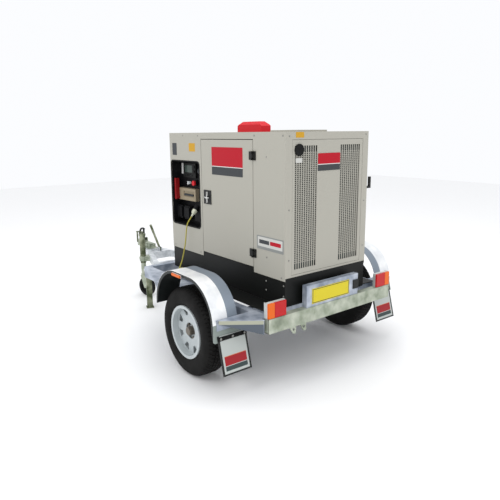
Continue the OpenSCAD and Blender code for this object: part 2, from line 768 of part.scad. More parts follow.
module fuel_cap() {
    z = tank_z + tank_h + 169;
    color("red") difference() {
        union() {
            rod_z(neck_x, neck_y, z - 18, neck_r + 8, 30);
            at(neck_x - 30, neck_y - 5, z + 12, [60, 10, 8]);
        }
        rod_z(neck_x, neck_y, z - 19, neck_r + run, 19);
    }
}

// ---------- canopy ----------

post = 58;
module jambs(x, dir) {
    // folded edge of the side sheet, standing behind the door's own edge
    for (s = [-1, 1]) {
        yj = s > 0 ? can_y - door_t - 6 : -can_y + sheet;
        at(dir > 0 ? x - sheet : x, yj, skirt_z + 40, [sheet, door_t + 3, can_top - 42 - skirt_z - 40]);
        at(dir > 0 ? x - sheet : x - 22, s > 0 ? can_y - door_t - 6 : -can_y + door_t + 3,
            door_z0 + 20, [22 + sheet, sheet, door_z1 - door_z0 - 40]);
    }
}
module front_enclosure() {
    x1 = door_x0 - door_gap;
    color("#b8b6ac") difference() {
        union() {
            at(front_x, -can_y, skirt_z, [sheet, can_w, can_top - sheet - skirt_z]);
            for (s = [-1, 1]) {
                at(front_x, s > 0 ? in_y : -can_y, skirt_z, [x1 - front_x, sheet, can_top - sheet - skirt_z]);
            }
            jambs(x1, 1);
        }
        plate_xz(-can_y - 5, sheet + 10) round_rect(rec_x0, rec_z0, rec_w, rec_h, 30);
        // air inlets low in the front wall
        for (z = [0:5]) at(front_x - 1, -260, base_top + 120 + z * 60, [sheet + 2, 520, 22]);
    }
}
module rear_enclosure() {
    x0 = door_x1 + door_gap;
    color("#b8b6ac") difference() {
        union() {
            at(rear_x - sheet, -can_y, skirt_z + 19, [sheet, can_w, can_top - sheet - skirt_z - 19]);
            for (s = [-1, 1]) {
                at(x0, s > 0 ? in_y : -can_y, skirt_z, [rear_x - x0, sheet, can_top - sheet - skirt_z]);
            }
            jambs(x0, -1);
            // cable hook at the right rear corner
            at(rear_x - 48, can_y - eps, 1262, [16, 16, 110]);
            at(rear_x - 48, can_y - eps, 1282, [16, 84, 16]);
            at(rear_x - 48, can_y + 68, 1282, [16, 16, 84]);
        }
        at(rear_x - 20, -can_y + post, base_top, [40, can_w - 2 * post, door_z1 + 2 - base_top]);
    }
}
// two fields of holes, left and right of a plain strip
vent_w = 202;
vent_z = base_top + 36;
vent_h = door_z1 - 37 - vent_z;
module rear_grille() {
    gy = can_y - post - 2;
    gz = base_top + 2;
    color("#b8b6ac") difference() {
        at(rear_x - sheet - 1, -gy, gz, [sheet, 2 * gy, door_z1 - gz]);
        for (s = [-1, 1]) for (i = [0:9]) {
            y0 = s > 0 ? 109 : -118 - vent_w + 3;
            at(rear_x - 10, y0 + i * 20.6, vent_z, [20, 14, vent_h]);
        }
        rod_x(rear_x - 10, cap_y, cap_z, 32 + run, 20);
    }
    // edge that fastens the panel behind the posts
    color("#b8b6ac") for (s = [-1, 1]) {
        at(rear_x - 2 * sheet - 1, s > 0 ? gy - 14 : -gy - 18, gz, [sheet, 32, door_z1 - gz]);
    }
}
cap_y = -283;
cap_z = can_top - 115;
module rubber_cap() {
    color("black") union() {
        rod_x(rear_x - sheet - 12, cap_y, cap_z, 32, 14);
        rod_x(rear_x - 1, cap_y, cap_z, 38, 9);
    }
}
module roof_panel() {
    color("#aaa89e") difference() {
        union() {
            at(front_x, -can_y, can_top - sheet, [can_l, can_w, sheet]);
            // edge folded down behind the top of the sides
            for (s = [-1, 1]) at(front_x + 20, s > 0 ? in_y - sheet : -in_y, can_top - 40,
                [can_l - 40, sheet, 40 - sheet + eps]);
            // lintel above the doors
            for (s = [-1, 1]) at(door_x0 - door_gap, s > 0 ? in_y : -can_y, door_z1 + door_gap,
                [door_l + 2 * door_gap, sheet, can_top - door_z1 - door_gap - sheet + eps]);
        }
        at(eye_x - 62, -22, can_top - 20, [124, 44, 40]);
        at(hatch_x + 20, -110, can_top - 20, [hatch_l - 40, 220, 40]);
        for (k = [0:11]) at(rear_x - 1350 + k * 24, -200, can_top - 20, [10, 400, 40]);
    }
}
hatch_x = rear_x - 452;
hatch_l = 290;
module roof_hatch() {
    color("#9a988e") at(hatch_x, -140, can_top, [hatch_l, 280, 12]);
}
eye_x = rear_x - 820;
eye_r = 26;
module lifting_frame() {
    // an arch of two posts and a beam under the roof, with the eye plate above it
    color("#333333") difference() {
        union() {
            for (s = [-1, 1]) at(eye_x - 30, s > 0 ? in_y - 70 : -in_y + 30, base_top,
                [60, 40, can_top - 60 - base_top]);
            at(eye_x - 30, -in_y + 30, can_top - 60, [60, 2 * in_y - 60, 50]);
            at(eye_x - 60, -10, can_top - 10 - eps, [120, 20, 74]);
        }
        rod_y(eye_x, -20, can_top + 32, eye_r, 40);
    }
}
cover_l = 300;
cover_w = 96;
cover_h = 82;
module lifting_eye_cover() {
    module outline(t) {
        polygon([[t, -1], [cover_l - t, -1], [cover_l - t, cover_h - 34 - t * 0.4],
            [cover_l - 46 - t * 0.4, cover_h - t], [46 + t * 0.4, cover_h - t], [t, cover_h - 34 - t * 0.4]]);
    }
    color("red") difference() {
        translate([eye_x - cover_l / 2, 0, can_top]) intersection() {
            plate_xz(-cover_w / 2, cover_w) difference() {
                outline(0);
                translate([-10, -10]) square([cover_l + 20, 10]);
            }
            plate_yz(-5, cover_l + 10) polygon([[-cover_w / 2, 0], [cover_w / 2, 0],
                [cover_w / 2, cover_h - 24], [cover_w / 2 - 22, cover_h],
                [-cover_w / 2 + 22, cover_h], [-cover_w / 2, cover_h - 24]]);
        }
        translate([eye_x - cover_l / 2, 0, can_top]) intersection() {
            plate_xz(-cover_w / 2 + 4, cover_w - 8) outline(4);
            plate_yz(-5, cover_l + 10) polygon([[-cover_w / 2 + 4, -1], [cover_w / 2 - 4, -1],
                [cover_w / 2 - 4, cover_h - 27], [cover_w / 2 - 24, cover_h - 4],
                [-cover_w / 2 + 24, cover_h - 4], [-cover_w / 2 + 4, cover_h - 27]]);
        }
    }
}

latch_x = door_x0 + 78;
latch_z = door_mid + 2;
latch_w = 100;
latch_h = 108;
module door(s) {
    y_out = s > 0 ? in_y : -can_y;
    y_edge = s > 0 ? can_y - door_t : -in_y;
    h = door_z1 - door_z0;
    ye = door_t - sheet;
    color("#b8b6ac") difference() {
        union() {
            at(door_x0, y_out, door_z0, [door_l, sheet, h]);
            for (x = [door_x0, door_x1 - sheet]) at(x, y_edge, door_z0, [sheet, ye, h]);
            for (z = [door_z0, door_z1 - sheet]) at(door_x0, y_edge, z, [door_l, ye, sheet]);
            // reinforcing hat across the inside
            at(door_x0 + sheet, s > 0 ? can_y - 20 : -in_y, door_mid - 160, [door_l - 2 * sheet, 17, 40]);
            // latch plate and hinge leaves, standing on the outside
            at(latch_x - latch_w / 2, s > 0 ? can_y : -can_y - 5, latch_z - latch_h / 2,
                [latch_w, 5, latch_h]);
            for (z = hinge_zs) {
                at(hinge_x - 38, s > 0 ? can_y : -can_y - 6, z - 28, [38 - 13, 6, 56]);
                rod_z(hinge_x, s * hinge_y, z - 13, 9, 26);
                at(hinge_x - 14, s > 0 ? can_y : -can_y - 6, z - 13, [10, 6, 26]);
            }
        }
        for (z = hinge_zs) {
            rod_z(hinge_x, s * hinge_y, z - 40, hinge_r + run, 80);
            // room for the fixed leaf
            at(hinge_x, s > 0 ? can_y - 1 : -can_y - 3, z - 14, [12, 4, 28]);
        }
        rod_y(latch_x, s > 0 ? can_y - 10 : -can_y - 10, latch_z, 8 + run, 20);
    }
}
module hinge_pins() {
    // fixed hinge leaves on the rear enclosure, with the pins they carry
    color("black") for (s = [-1, 1], z = hinge_zs) {
        rod_z(hinge_x, s * hinge_y, z - 30, hinge_r, 60);
        for (k = [-30, 14]) {
            rod_z(hinge_x, s * hinge_y, z + k, 9, 16);
            at(hinge_x + 3, s > 0 ? can_y : -can_y - 6, z + k, [10, 6, 16]);
        }
        at(hinge_x + 13, s > 0 ? can_y : -can_y - 6, z - 30, [20, 6, 60]);
    }
}
module latch(s) {
    y0 = s > 0 ? can_y + 5 + 0.2 : -can_y - 5 - 0.2 - 12;
    color("silver") union() {
        rod_y(latch_x, s > 0 ? can_y - 12 : -can_y - 6, latch_z, 8, 18);
        rod_y(latch_x, y0, latch_z, 17, 12);
        at(latch_x - 8, y0, latch_z - 42, [16, 12, 84]);
        at(latch_x - 26, y0 + 2, latch_z - 6, [52, 8, 12]);
        // tongue behind the door skin
        at(latch_x - 46, s > 0 ? in_y - 11 : -in_y + 6, latch_z - 9, [54, 5, 18]);
    }
}

// ---------- controls ----------

module control_recess() {
    color("#26282a") difference() {
        at(rec_x0 - rec_t, -in_y, rec_z0 - rec_t,
            [rec_w + 2 * rec_t, rec_d - sheet + rec_t, rec_h + 2 * rec_t]);
        at(rec_x0, -in_y - 1, rec_z0, [rec_w, rec_d - sheet + 1, rec_h]);
        rod_y(stop_x, rec_back - 5, stop_z, 8 + run, 20);
        rod_y(key_x, rec_back - 5, key_z, 6 + run, 20);
    }
}
ctrl_z = rec_z0 + 385;
module controller() {
    color("#111111") {
        difference() {
            at(front_x + 90, rec_back - 18, ctrl_z, [190, 18, 118]);
            at(front_x + 106, rec_back - 19, ctrl_z + 40, [120, 3, 62]);
        }
        for (k = [0:4]) rod_y(front_x + 118 + k * 26, rec_back - 22, ctrl_z + 20, 7, 4 + eps);
        for (k = [0:1]) rod_y(front_x + 254, rec_back - 24, ctrl_z + 52 + k * 38, 12, 6 + eps);
        for (x = [330, 390]) rod_y(front_x + x, rec_back - 14, ctrl_z + 60, 25, 14);
    }
}
iso_x = box_x + 16;
iso_z = box_z + 8;
module breaker_box() {
    color("#cfc5a5") difference() {
        at(box_x, box_y, box_z - 8, [box_w, box_d, box_h + 8]);
        at(box_x + 90, box_y - 1, box_z + 24, [170, 9, 44]);
        rod_y(iso_x, box_y - 1, iso_z, 6 + run, 20);
    }
}
module isolator_handle() {
    color("red") union() {
        rod_y(iso_x, box_y - 14, iso_z, 6, 28);
        rod_y(iso_x, box_y - 36, iso_z, 15, 35);
        at(iso_x - 11, box_y - 36, iso_z, [22, 34, 165]);
    }
}
module stop_button() {
    color("red") union() {
        rod_y(stop_x, rec_back - 40, stop_z, 20, 14);
        rod_y(stop_x, rec_back - 27, stop_z, 8, 37);
    }
}
module key_switch() {
    color("white") union() {
        rod_y(key_x, rec_back - 20, key_z, 12, 18);
        at(key_x - 3, rec_back - 30, key_z - 14, [6, 12, 28]);
        rod_y(key_x, rec_back - 4, key_z, 6, 12);
    }
}
module sockets() {
    color("#1c2226") {
        // stop button collar, key switch collar
        rod_y_tube(stop_x, rec_back - 18, stop_z, 24, 8 + run + 0.1, 18);
        rod_y_tube(key_x, rec_back - 2, key_z, 15, 6 + run + 0.1, 2);
        for (x = [front_x + 60, front_x + 176]) {
            difference() {
                at(x - 42, rec_back - 46, rec_z0 + 36, [84, 46, 110]);
                rod_y(x, rec_back - 47, rec_z0 + 92, 27, 30);
            }
            // lid
            at(x - 38, rec_back - 54, rec_z0 + 50, [76, 8, 84]);
        }
        // the one in use, with a collar facing the plug
        at(sock_x - 42, rec_back - 46, rec_z0 + 36, [84, 46, 110]);
        on_plug() translate([0, 0, plug_l + eps]) cylinder(r = 24, h = 40);
    }
}
module rod_y_tube(x, y, z, r, bore, l) {
    difference() {
        rod_y(x, y, z, r, l);
        rod_y(x, y - 1, z, bore, l + 2);
    }
}
// the plug lies along the lead's first stretch, its cable end at the origin
plug_l = 62;
module on_plug() {
    d = unit(lead_route[0] - lead_route[1]);
    translate(plug_at) rotate([0, acos(d[2]), atan2(d[1], d[0])]) children();
}
module plug() {
    color("lightyellow") on_plug() {
        cylinder(r1 = 6.5, r2 = 10, h = 26);
        translate([0, 0, 26 - eps]) cylinder(r = 17, h = 10);
        translate([0, 0, 36 - eps]) cylinder(r = 22, h = plug_l - 36 + eps);
    }
}
module lead() { color("gold") sweep(lead_route, lead_d / 2, 10); }
module cable_gland() {
    color("black") {
        rod_y(gland_x, -in_y - 24, gland_z, 12, 24);
        rod_y(gland_x, -in_y - eps, gland_z, 10, 14);
        translate([gland_x, -450, gland_z]) rotate([-90, 0, 0])
            cylinder(r1 = 6.5, r2 = 10, h = 450 - in_y - 24 + eps);
    }
}

// ---------- engine set ----------

// a closed hollow drum along X, such as a silencer
module drum_x(x, y, z, r, l) {
    difference() {
        rod_x(x, y, z, r, l);
        rod_x(x + 5, y, z, r - 4, l - 10);
    }
}
module engine() {
    z0 = base_top + mount_h;
    l = engine_x1 - engine_x0;
    color("dimgray") difference() {
        union() {
            at(engine_x0, -110, z0 + 45, [l, 220, 235]);
            at(engine_x0 + 30, -90, z0 + 5, [l - 90, 180, 41]);
            at(engine_x0 + 20, -95, z0 + 280 - eps, [l - 60, 190, 120]);
            at(engine_x0 + 40, -60, z0 + 400 - eps, [l - 100, 120, 50]);
            rod_x(engine_x0 - 60, 0, crank_z, 175, 61);
            // feet on the rubber mounts
            at(mount_xs[1] - 35, -mount_y - 30, z0, [70, 2 * mount_y + 60, 12]);
            at(mount_xs[1] - 35, -112, z0, [70, 224, 60]);
            // inlet and exhaust manifolds, filter, silencer above
            at(engine_x0 + 60, 95 - eps, z0 + 320, [l - 140, 55, 50]);
            at(engine_x0 + 60, -150, z0 + 320, [l - 140, 55 + eps, 50]);
            rod_z(engine_x0 + 180, 122, z0 + 370 - eps, 26, 140);
            drum_x(engine_x0 - 120, 122, z0 + 590, 85, 460);
            rod_z(engine_x0 + 330, -122, z0 + 370 - eps, 24, 110);
            drum_x(engine_x0 + 210, -122, z0 + 540, 66, 250);
            rod_y(engine_x0 + 90, -190, z0 + 150, 40, 81);
            rod_x(engine_x1 - eps, 0, crank_z, 60, 14);
            rod_x(engine_x1 - eps, 0, fan_z, 40, 12);
        }
        rod_x(engine_x1 - 30, 0, fan_z, 12 + 0.3, 60);
    }
}
fan_z = crank_z + 150;
module alternator() {
    z0 = base_top + mount_h;
    color("#3c5a78") union() {
        difference() {
            rod_x(engine_x0 - 60 - 300, 0, crank_z, 165, 300);
            rod_x(engine_x0 - 60 - 260, 0, crank_z, 110, 220);
        }
        rod_x(engine_x0 - 60 - 360, 0, crank_z, 140, 61);
        at(engine_x0 - 330, -120, crank_z + 110, [210, 240, 120]);
        at(mount_xs[0] - 35, -mount_y - 30, z0, [70, 2 * mount_y + 60, 12]);
        at(mount_xs[0] - 35, -120, z0, [70, 240, crank_z - z0 - 90]);
    }
}
rad_x = rear_x - 270;
module radiator() {
    color("#2b2d2f") difference() {
        union() {
            at(rad_x, -300, base_top, [70, 600, 700]);
            at(rad_x - 10, -310, base_top + 640, [90, 620, 90]);
            // fan shroud
            at(rad_x - 60, -280, fan_z - 280, [61, 560, 560]);
            rod_z(rad_x + 35, -220, base_top + 730 - eps, 22, 30);
        }
        at(rad_x - 61, -270, fan_z - 270, [56, 540, 540]);
        // core shown as a grid of deep slots
        for (k = [0:9]) at(rad_x + 20, -280 + k * 57, base_top + 40, [60, 40, 580]);
    }
}
fan_r = 235;
module fan() {
    color("#d8d8c8") union() {
        rod_x(engine_x1 - 20, 0, fan_z, 12, 90);
        rod_x(engine_x1 + 20, 0, fan_z, 55, 50);
        for (a = [0:60:300]) translate([engine_x1 + 45, 0, fan_z]) rotate([a, 0, 0])
            translate([0, 0, 45]) rotate([0, 0, 32]) at(-2, -45, 0, [4, 90, fan_r - 45]);
    }
}

chassis_frame();
rear_beam();
drawbar();
coupling_body();
coupling_latch();
brake_lever();
jockey_clamp();
jockey_tube();
jockey_inner_tube();
jockey_crank();
jockey_fork();
jockey_wheel();
support_leg();
axle();
leaf_springs();
mudguard(-1);  // left_mudguard
mudguard(1);  // right_mudguard
mud_flaps();
flap_strips();
tyre(-1);  // left_tyre
tyre(1);  // right_tyre
wheel_rim(-1);  // left_rim
wheel_rim(1);  // right_rim
hub(-1);  // left_hub
hub(1);  // right_hub
lamp_housings();
lamp_lenses();
plate_box();
number_plate();
base_frame();
mount_feet();
fuel_tank();
fuel_cap();
front_enclosure();
rear_enclosure();
rear_grille();
rubber_cap();
roof_panel();
roof_hatch();
lifting_frame();
lifting_eye_cover();
door(-1);  // left_door
door(1);  // right_door
hinge_pins();
latch(-1);  // left_latch
latch(1);  // right_latch
control_recess();
controller();
breaker_box();
isolator_handle();
stop_button();
key_switch();
sockets();
plug();
lead();
cable_gland();
engine();
alternator();
radiator();
fan();
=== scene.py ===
import bmesh
import bpy
import numpy as np
from math import radians, sin, cos, pi
from mathutils import Matrix, Vector


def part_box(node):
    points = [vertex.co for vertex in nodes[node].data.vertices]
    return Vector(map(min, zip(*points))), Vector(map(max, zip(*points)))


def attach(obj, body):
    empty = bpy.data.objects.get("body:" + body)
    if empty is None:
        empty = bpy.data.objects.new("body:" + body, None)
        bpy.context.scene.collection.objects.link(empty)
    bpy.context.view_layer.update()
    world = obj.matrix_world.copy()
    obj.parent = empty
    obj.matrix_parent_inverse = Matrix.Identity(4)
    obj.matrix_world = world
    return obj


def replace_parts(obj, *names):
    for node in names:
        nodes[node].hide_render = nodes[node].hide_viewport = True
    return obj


# Towable diesel generator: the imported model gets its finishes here, and the trim that shows.
# Metres. +X to the rear, +Y to the trailer's right, +Z up, origin on the ground.
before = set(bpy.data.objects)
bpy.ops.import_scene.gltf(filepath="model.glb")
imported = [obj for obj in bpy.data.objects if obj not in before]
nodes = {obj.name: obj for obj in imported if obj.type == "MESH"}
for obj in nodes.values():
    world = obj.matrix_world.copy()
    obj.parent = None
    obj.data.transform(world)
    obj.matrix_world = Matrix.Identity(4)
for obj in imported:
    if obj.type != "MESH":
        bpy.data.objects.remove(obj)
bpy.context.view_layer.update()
print("frame loaded")

view = {"place": (3.8579, -2.5537, 1.6886), "yaw": 38.12, "down": 11.402, "roll": -0.516,  # degrees
        "lens": 36.6, "sensor": 36, "shiftX": -0.0037, "shiftY": -0.0284, "reach": 60}


def makeCamera():
    # looks forward and to the right of the trailer, then rolls about its own line of sight
    yaw, down, roll = (radians(view[k]) for k in ("yaw", "down", "roll"))
    ahead = Vector((-cos(yaw) * cos(down), sin(yaw) * cos(down), -sin(down)))
    side = Vector((sin(yaw), cos(yaw), 0))
    up = side.cross(ahead)
    right = side * cos(roll) + up * sin(roll)
    top = up * cos(roll) - side * sin(roll)
    data = bpy.data.cameras.new("camera")
    data.lens = view["lens"]
    data.sensor_width = view["sensor"]
    data.shift_x = view["shiftX"]
    data.shift_y = view["shiftY"]
    data.clip_end = view["reach"]
    cam = bpy.data.objects.new("camera", data)
    turn = Matrix((right, top, -ahead)).transposed().to_4x4()
    cam.matrix_world = Matrix.Translation(view["place"]) @ turn
    bpy.context.scene.collection.objects.link(cam)
    bpy.context.scene.camera = cam


makeCamera()
print("camera placed")


def newMaterial(name, colour, rough, metal=0.0, shine=0.3):
    mat = bpy.data.materials.new(name)
    mat.use_nodes = True
    shader = mat.node_tree.nodes["Principled BSDF"]
    shader.inputs["Base Color"].default_value = (*colour, 1)
    shader.inputs["Roughness"].default_value = rough
    shader.inputs["Metallic"].default_value = metal
    shader.inputs["Specular IOR Level"].default_value = shine
    return mat, mat.node_tree, shader


def place(tree):
    # a point of the piece, in the object's own metres
    return tree.nodes.new("ShaderNodeTexCoord").outputs["Object"]


def noise(tree, scale, detail):
    tex = tree.nodes.new("ShaderNodeTexNoise")
    tex.inputs["Scale"].default_value = scale
    tex.inputs["Detail"].default_value = detail
    tree.links.new(place(tree), tex.inputs["Vector"])
    return tex.outputs["Fac"]


def ramp(tree, source, stops):
    # a colour band: stops are (position, colour)
    node = tree.nodes.new("ShaderNodeValToRGB")
    band = node.color_ramp
    while len(band.elements) < len(stops):
        band.elements.new(0.5)
    for element, (where, colour) in zip(band.elements, stops):
        element.position = where
        element.color = (*colour, 1)
    tree.links.new(source, node.inputs["Fac"])
    return node.outputs["Color"]


def addBump(tree, shader, source, strength, depth=0.001):
    bump = tree.nodes.new("ShaderNodeBump")
    bump.inputs["Strength"].default_value = strength
    bump.inputs["Distance"].default_value = depth
    tree.links.new(source, bump.inputs["Height"])
    tree.links.new(bump.outputs["Normal"], shader.inputs["Normal"])


def mathNode(tree, kind, *values):
    # one step of arithmetic, on sockets and on plain numbers
    node = tree.nodes.new("ShaderNodeMath")
    node.operation = kind
    for socket, value in zip(node.inputs, values):
        if isinstance(value, (int, float)):
            socket.default_value = value
        else:
            tree.links.new(value, socket)
    return node.outputs["Value"]


def splitPlace(tree):
    split = tree.nodes.new("ShaderNodeSeparateXYZ")
    tree.links.new(place(tree), split.inputs["Vector"])
    return split.outputs


mixSockets = {"under": 6, "over": 7, "out": 2}  # a Mix node's colour sockets


def mixColour(tree, factor, under, over):
    # the colour over where the factor is 1; under is a colour or a socket
    mix = tree.nodes.new("ShaderNodeMix")
    mix.data_type = "RGBA"
    tree.links.new(factor, mix.inputs["Factor"])
    lower = mix.inputs[mixSockets["under"]]
    if isinstance(under, tuple):
        lower.default_value = (*under, 1)
    else:
        tree.links.new(under, lower)
    mix.inputs[mixSockets["over"]].default_value = (*over, 1)
    return mix.outputs[mixSockets["out"]]


def insideBox(tree, low, high):
    # 1 inside the box and 0 outside: for each axis with limits, is the distance from
    # the box's middle at most half its width; the answers are multiplied
    spots = splitPlace(tree)
    inside = None
    for axis in range(3):
        if low[axis] is None:
            continue
        middle, half = (low[axis] + high[axis]) / 2, (high[axis] - low[axis]) / 2
        test = mathNode(tree, "COMPARE", spots[axis], middle, half)
        inside = test if inside is None else mathNode(tree, "MULTIPLY", inside, test)
    return inside


def paintAreas(tree, shader, base, areas):
    # lays each area's colour over the base: areas are (colour, lowest corner, highest corner)
    for colour, low, high in areas:
        base = mixColour(tree, insideBox(tree, low, high), base, colour)
    tree.links.new(base, shader.inputs["Base Color"])


anywhere = (None, None)


def bothSides(colour, x, y, z):
    # the same area on the left and on the right: x, y and z are (from, to), y counted outwards
    return [(colour, (x[0], -y[1], z[0]), (x[1], -y[0], z[1])),
            (colour, (x[0], y[0], z[0]), (x[1], y[1], z[1]))]


zinc = {"metal": 0.4, "shine": 0.4, "cloudScale": 11, "cloudDetail": 8, "bands": (0.28, 0.4, 0.66),
        "spangleScale": 130, "spangleBump": 0.08}


def makeGalvanised(name, dark, light, rough, areas=(), stained=0.7):
    # zinc: soft cloudy patches, darker stains, and a fine spangle
    mat, tree, shader = newMaterial(name, light, rough, zinc["metal"], zinc["shine"])
    cloud = noise(tree, zinc["cloudScale"], zinc["cloudDetail"])
    stain = tuple(c * stained for c in dark)
    base = ramp(tree, cloud, list(zip(zinc["bands"], (stain, dark, light))))
    paintAreas(tree, shader, base, areas)
    spangle = tree.nodes.new("ShaderNodeTexVoronoi")
    spangle.inputs["Scale"].default_value = zinc["spangleScale"]
    tree.links.new(place(tree), spangle.inputs["Vector"])
    addBump(tree, shader, spangle.outputs["Distance"], zinc["spangleBump"])
    return mat


# colour is the painted shade on the guard's underside
guardSection = {"middle": 0.961, "half": 0.094, "height": 0.483, "inside": 0.2785,
                "colour": (0.02, 0.024, 0.024)}


def paintUndersideShade(mat):
    # paints shade on the sheet's inner face, the guard's shaded underside: the points whose distance
    # from the guard's middle line, which is a level segment, is less than the inside radius
    tree = mat.node_tree
    target = tree.nodes["Principled BSDF"].inputs["Base Color"]
    spots = splitPlace(tree)
    off = mathNode(tree, "SUBTRACT", spots["X"], guardSection["middle"])
    along = mathNode(tree, "SUBTRACT", mathNode(tree, "ABSOLUTE", off), guardSection["half"])
    along = mathNode(tree, "MAXIMUM", along, 0.0)
    up = mathNode(tree, "MAXIMUM", mathNode(tree, "SUBTRACT", spots["Z"], guardSection["height"]), 0.0)
    squares = [mathNode(tree, "MULTIPLY", v, v) for v in (along, up)]
    far = mathNode(tree, "SQRT", mathNode(tree, "ADD", *squares))
    inside = mathNode(tree, "LESS_THAN", far, guardSection["inside"])
    shadedColour = mixColour(tree, inside, target.links[0].from_socket, guardSection["colour"])
    tree.links.new(shadedColour, target)


paintGrain = {"scale": 700, "detail": 2, "depth": 0.0006}


def makePaint(name, colour, rough, grain=0.06, areas=(), metal=0.0, shine=0.3):
    # sprayed coat: one colour, its areas, and a fine orange-peel grain
    mat, tree, shader = newMaterial(name, colour, rough, metal, shine)
    if areas:
        paintAreas(tree, shader, colour, areas)
    if grain:
        peel = noise(tree, paintGrain["scale"], paintGrain["detail"])
        addBump(tree, shader, peel, grain, paintGrain["depth"])
    return mat


dust = {"scale": 14, "detail": 5, "bands": (0.35, 0.85), "paler": 1.9, "lift": 0.004}
rubberSkin = {"shine": 0.12, "detail": 3, "depth": 0.0008}


def makeRubber(name, colour, rough=0.62, scale=260, strength=0.2):
    # moulded rubber: faint pale dust over the colour, and a coarse grain
    mat, tree, shader = newMaterial(name, colour, rough, 0.0, rubberSkin["shine"])
    pale = tuple(min(1, c * dust["paler"] + dust["lift"]) for c in colour)
    cloud = noise(tree, dust["scale"], dust["detail"])
    tree.links.new(ramp(tree, cloud, list(zip(dust["bands"], (colour, pale)))), shader.inputs["Base Color"])
    addBump(tree, shader, noise(tree, scale, rubberSkin["detail"]), strength, rubberSkin["depth"])
    return mat


canopyColour = (0.40, 0.388, 0.338)
darkTrim = (0.011, 0.012, 0.012)
paintedCanopyShadow = (0.22, 0.26, 0.31)
paintedRearShade = (0.25, 0.29, 0.27)
brightLine = (0.6, 0.6, 0.58)
doorTrim = {"y": (0.3988, 0.43), "latchX": (0.512, 0.614), "latchZ": (1.150, 1.265),
            "hingeX": (1.085, 1.20), "hingeZ": (0.865, 1.54), "hingeHalf": 0.031}
# the edge plate's lower colour is painted shade
deckEdge = {"x": (1.345, 1.52), "y": (0.6045, 0.87), "z": (0.43, 0.508, 0.5328),
            "lower": (0.10, 0.12, 0.145), "upper": (0.40, 0.41, 0.32)}


def doorAreas(side):
    # the dark latch plate and hinge leaves, kept to what stands proud of the door's outer face
    areas = bothSides(darkTrim, doorTrim["latchX"], doorTrim["y"], doorTrim["latchZ"])
    for z in doorTrim["hingeZ"]:
        leaf = (z - doorTrim["hingeHalf"], z + doorTrim["hingeHalf"])
        areas += bothSides(darkTrim, doorTrim["hingeX"], doorTrim["y"], leaf)
    return areas[0::2] if side < 0 else areas[1::2]


def deckAreasWithShade():
    # the step deck's edge plate: painted shade on its face, under a paler lip
    low, middle, high = deckEdge["z"]
    return (bothSides(deckEdge["lower"], deckEdge["x"], deckEdge["y"], (low, middle))
            + bothSides(deckEdge["upper"], deckEdge["x"], deckEdge["y"], (middle, high)))


areasOf = {
    "hook": [(darkTrim, (1.40, 0.3988, 1.2), (1.43, 0.60, 1.4))],
    "plateLamp": [(darkTrim, (1.49, 0.17, 0.57), (1.56, 0.26, 0.66))],
    # on each guard, the canopy's shadow is painted blue-grey over the inner part of its width
    "guard": bothSides(paintedCanopyShadow, anywhere, (0.60, 0.776), anywhere)
             # painted shade on the guard's rear lower corner
             + [(paintedRearShade, (1.30, None, 0.37), (1.42, None, 0.503))],  # the guard's rear lower corner
    "latch": [(brightLine, (0.566, None, None), (0.575, None, None)),
              (brightLine, (None, None, 1.198), (None, None, 1.209))],
}

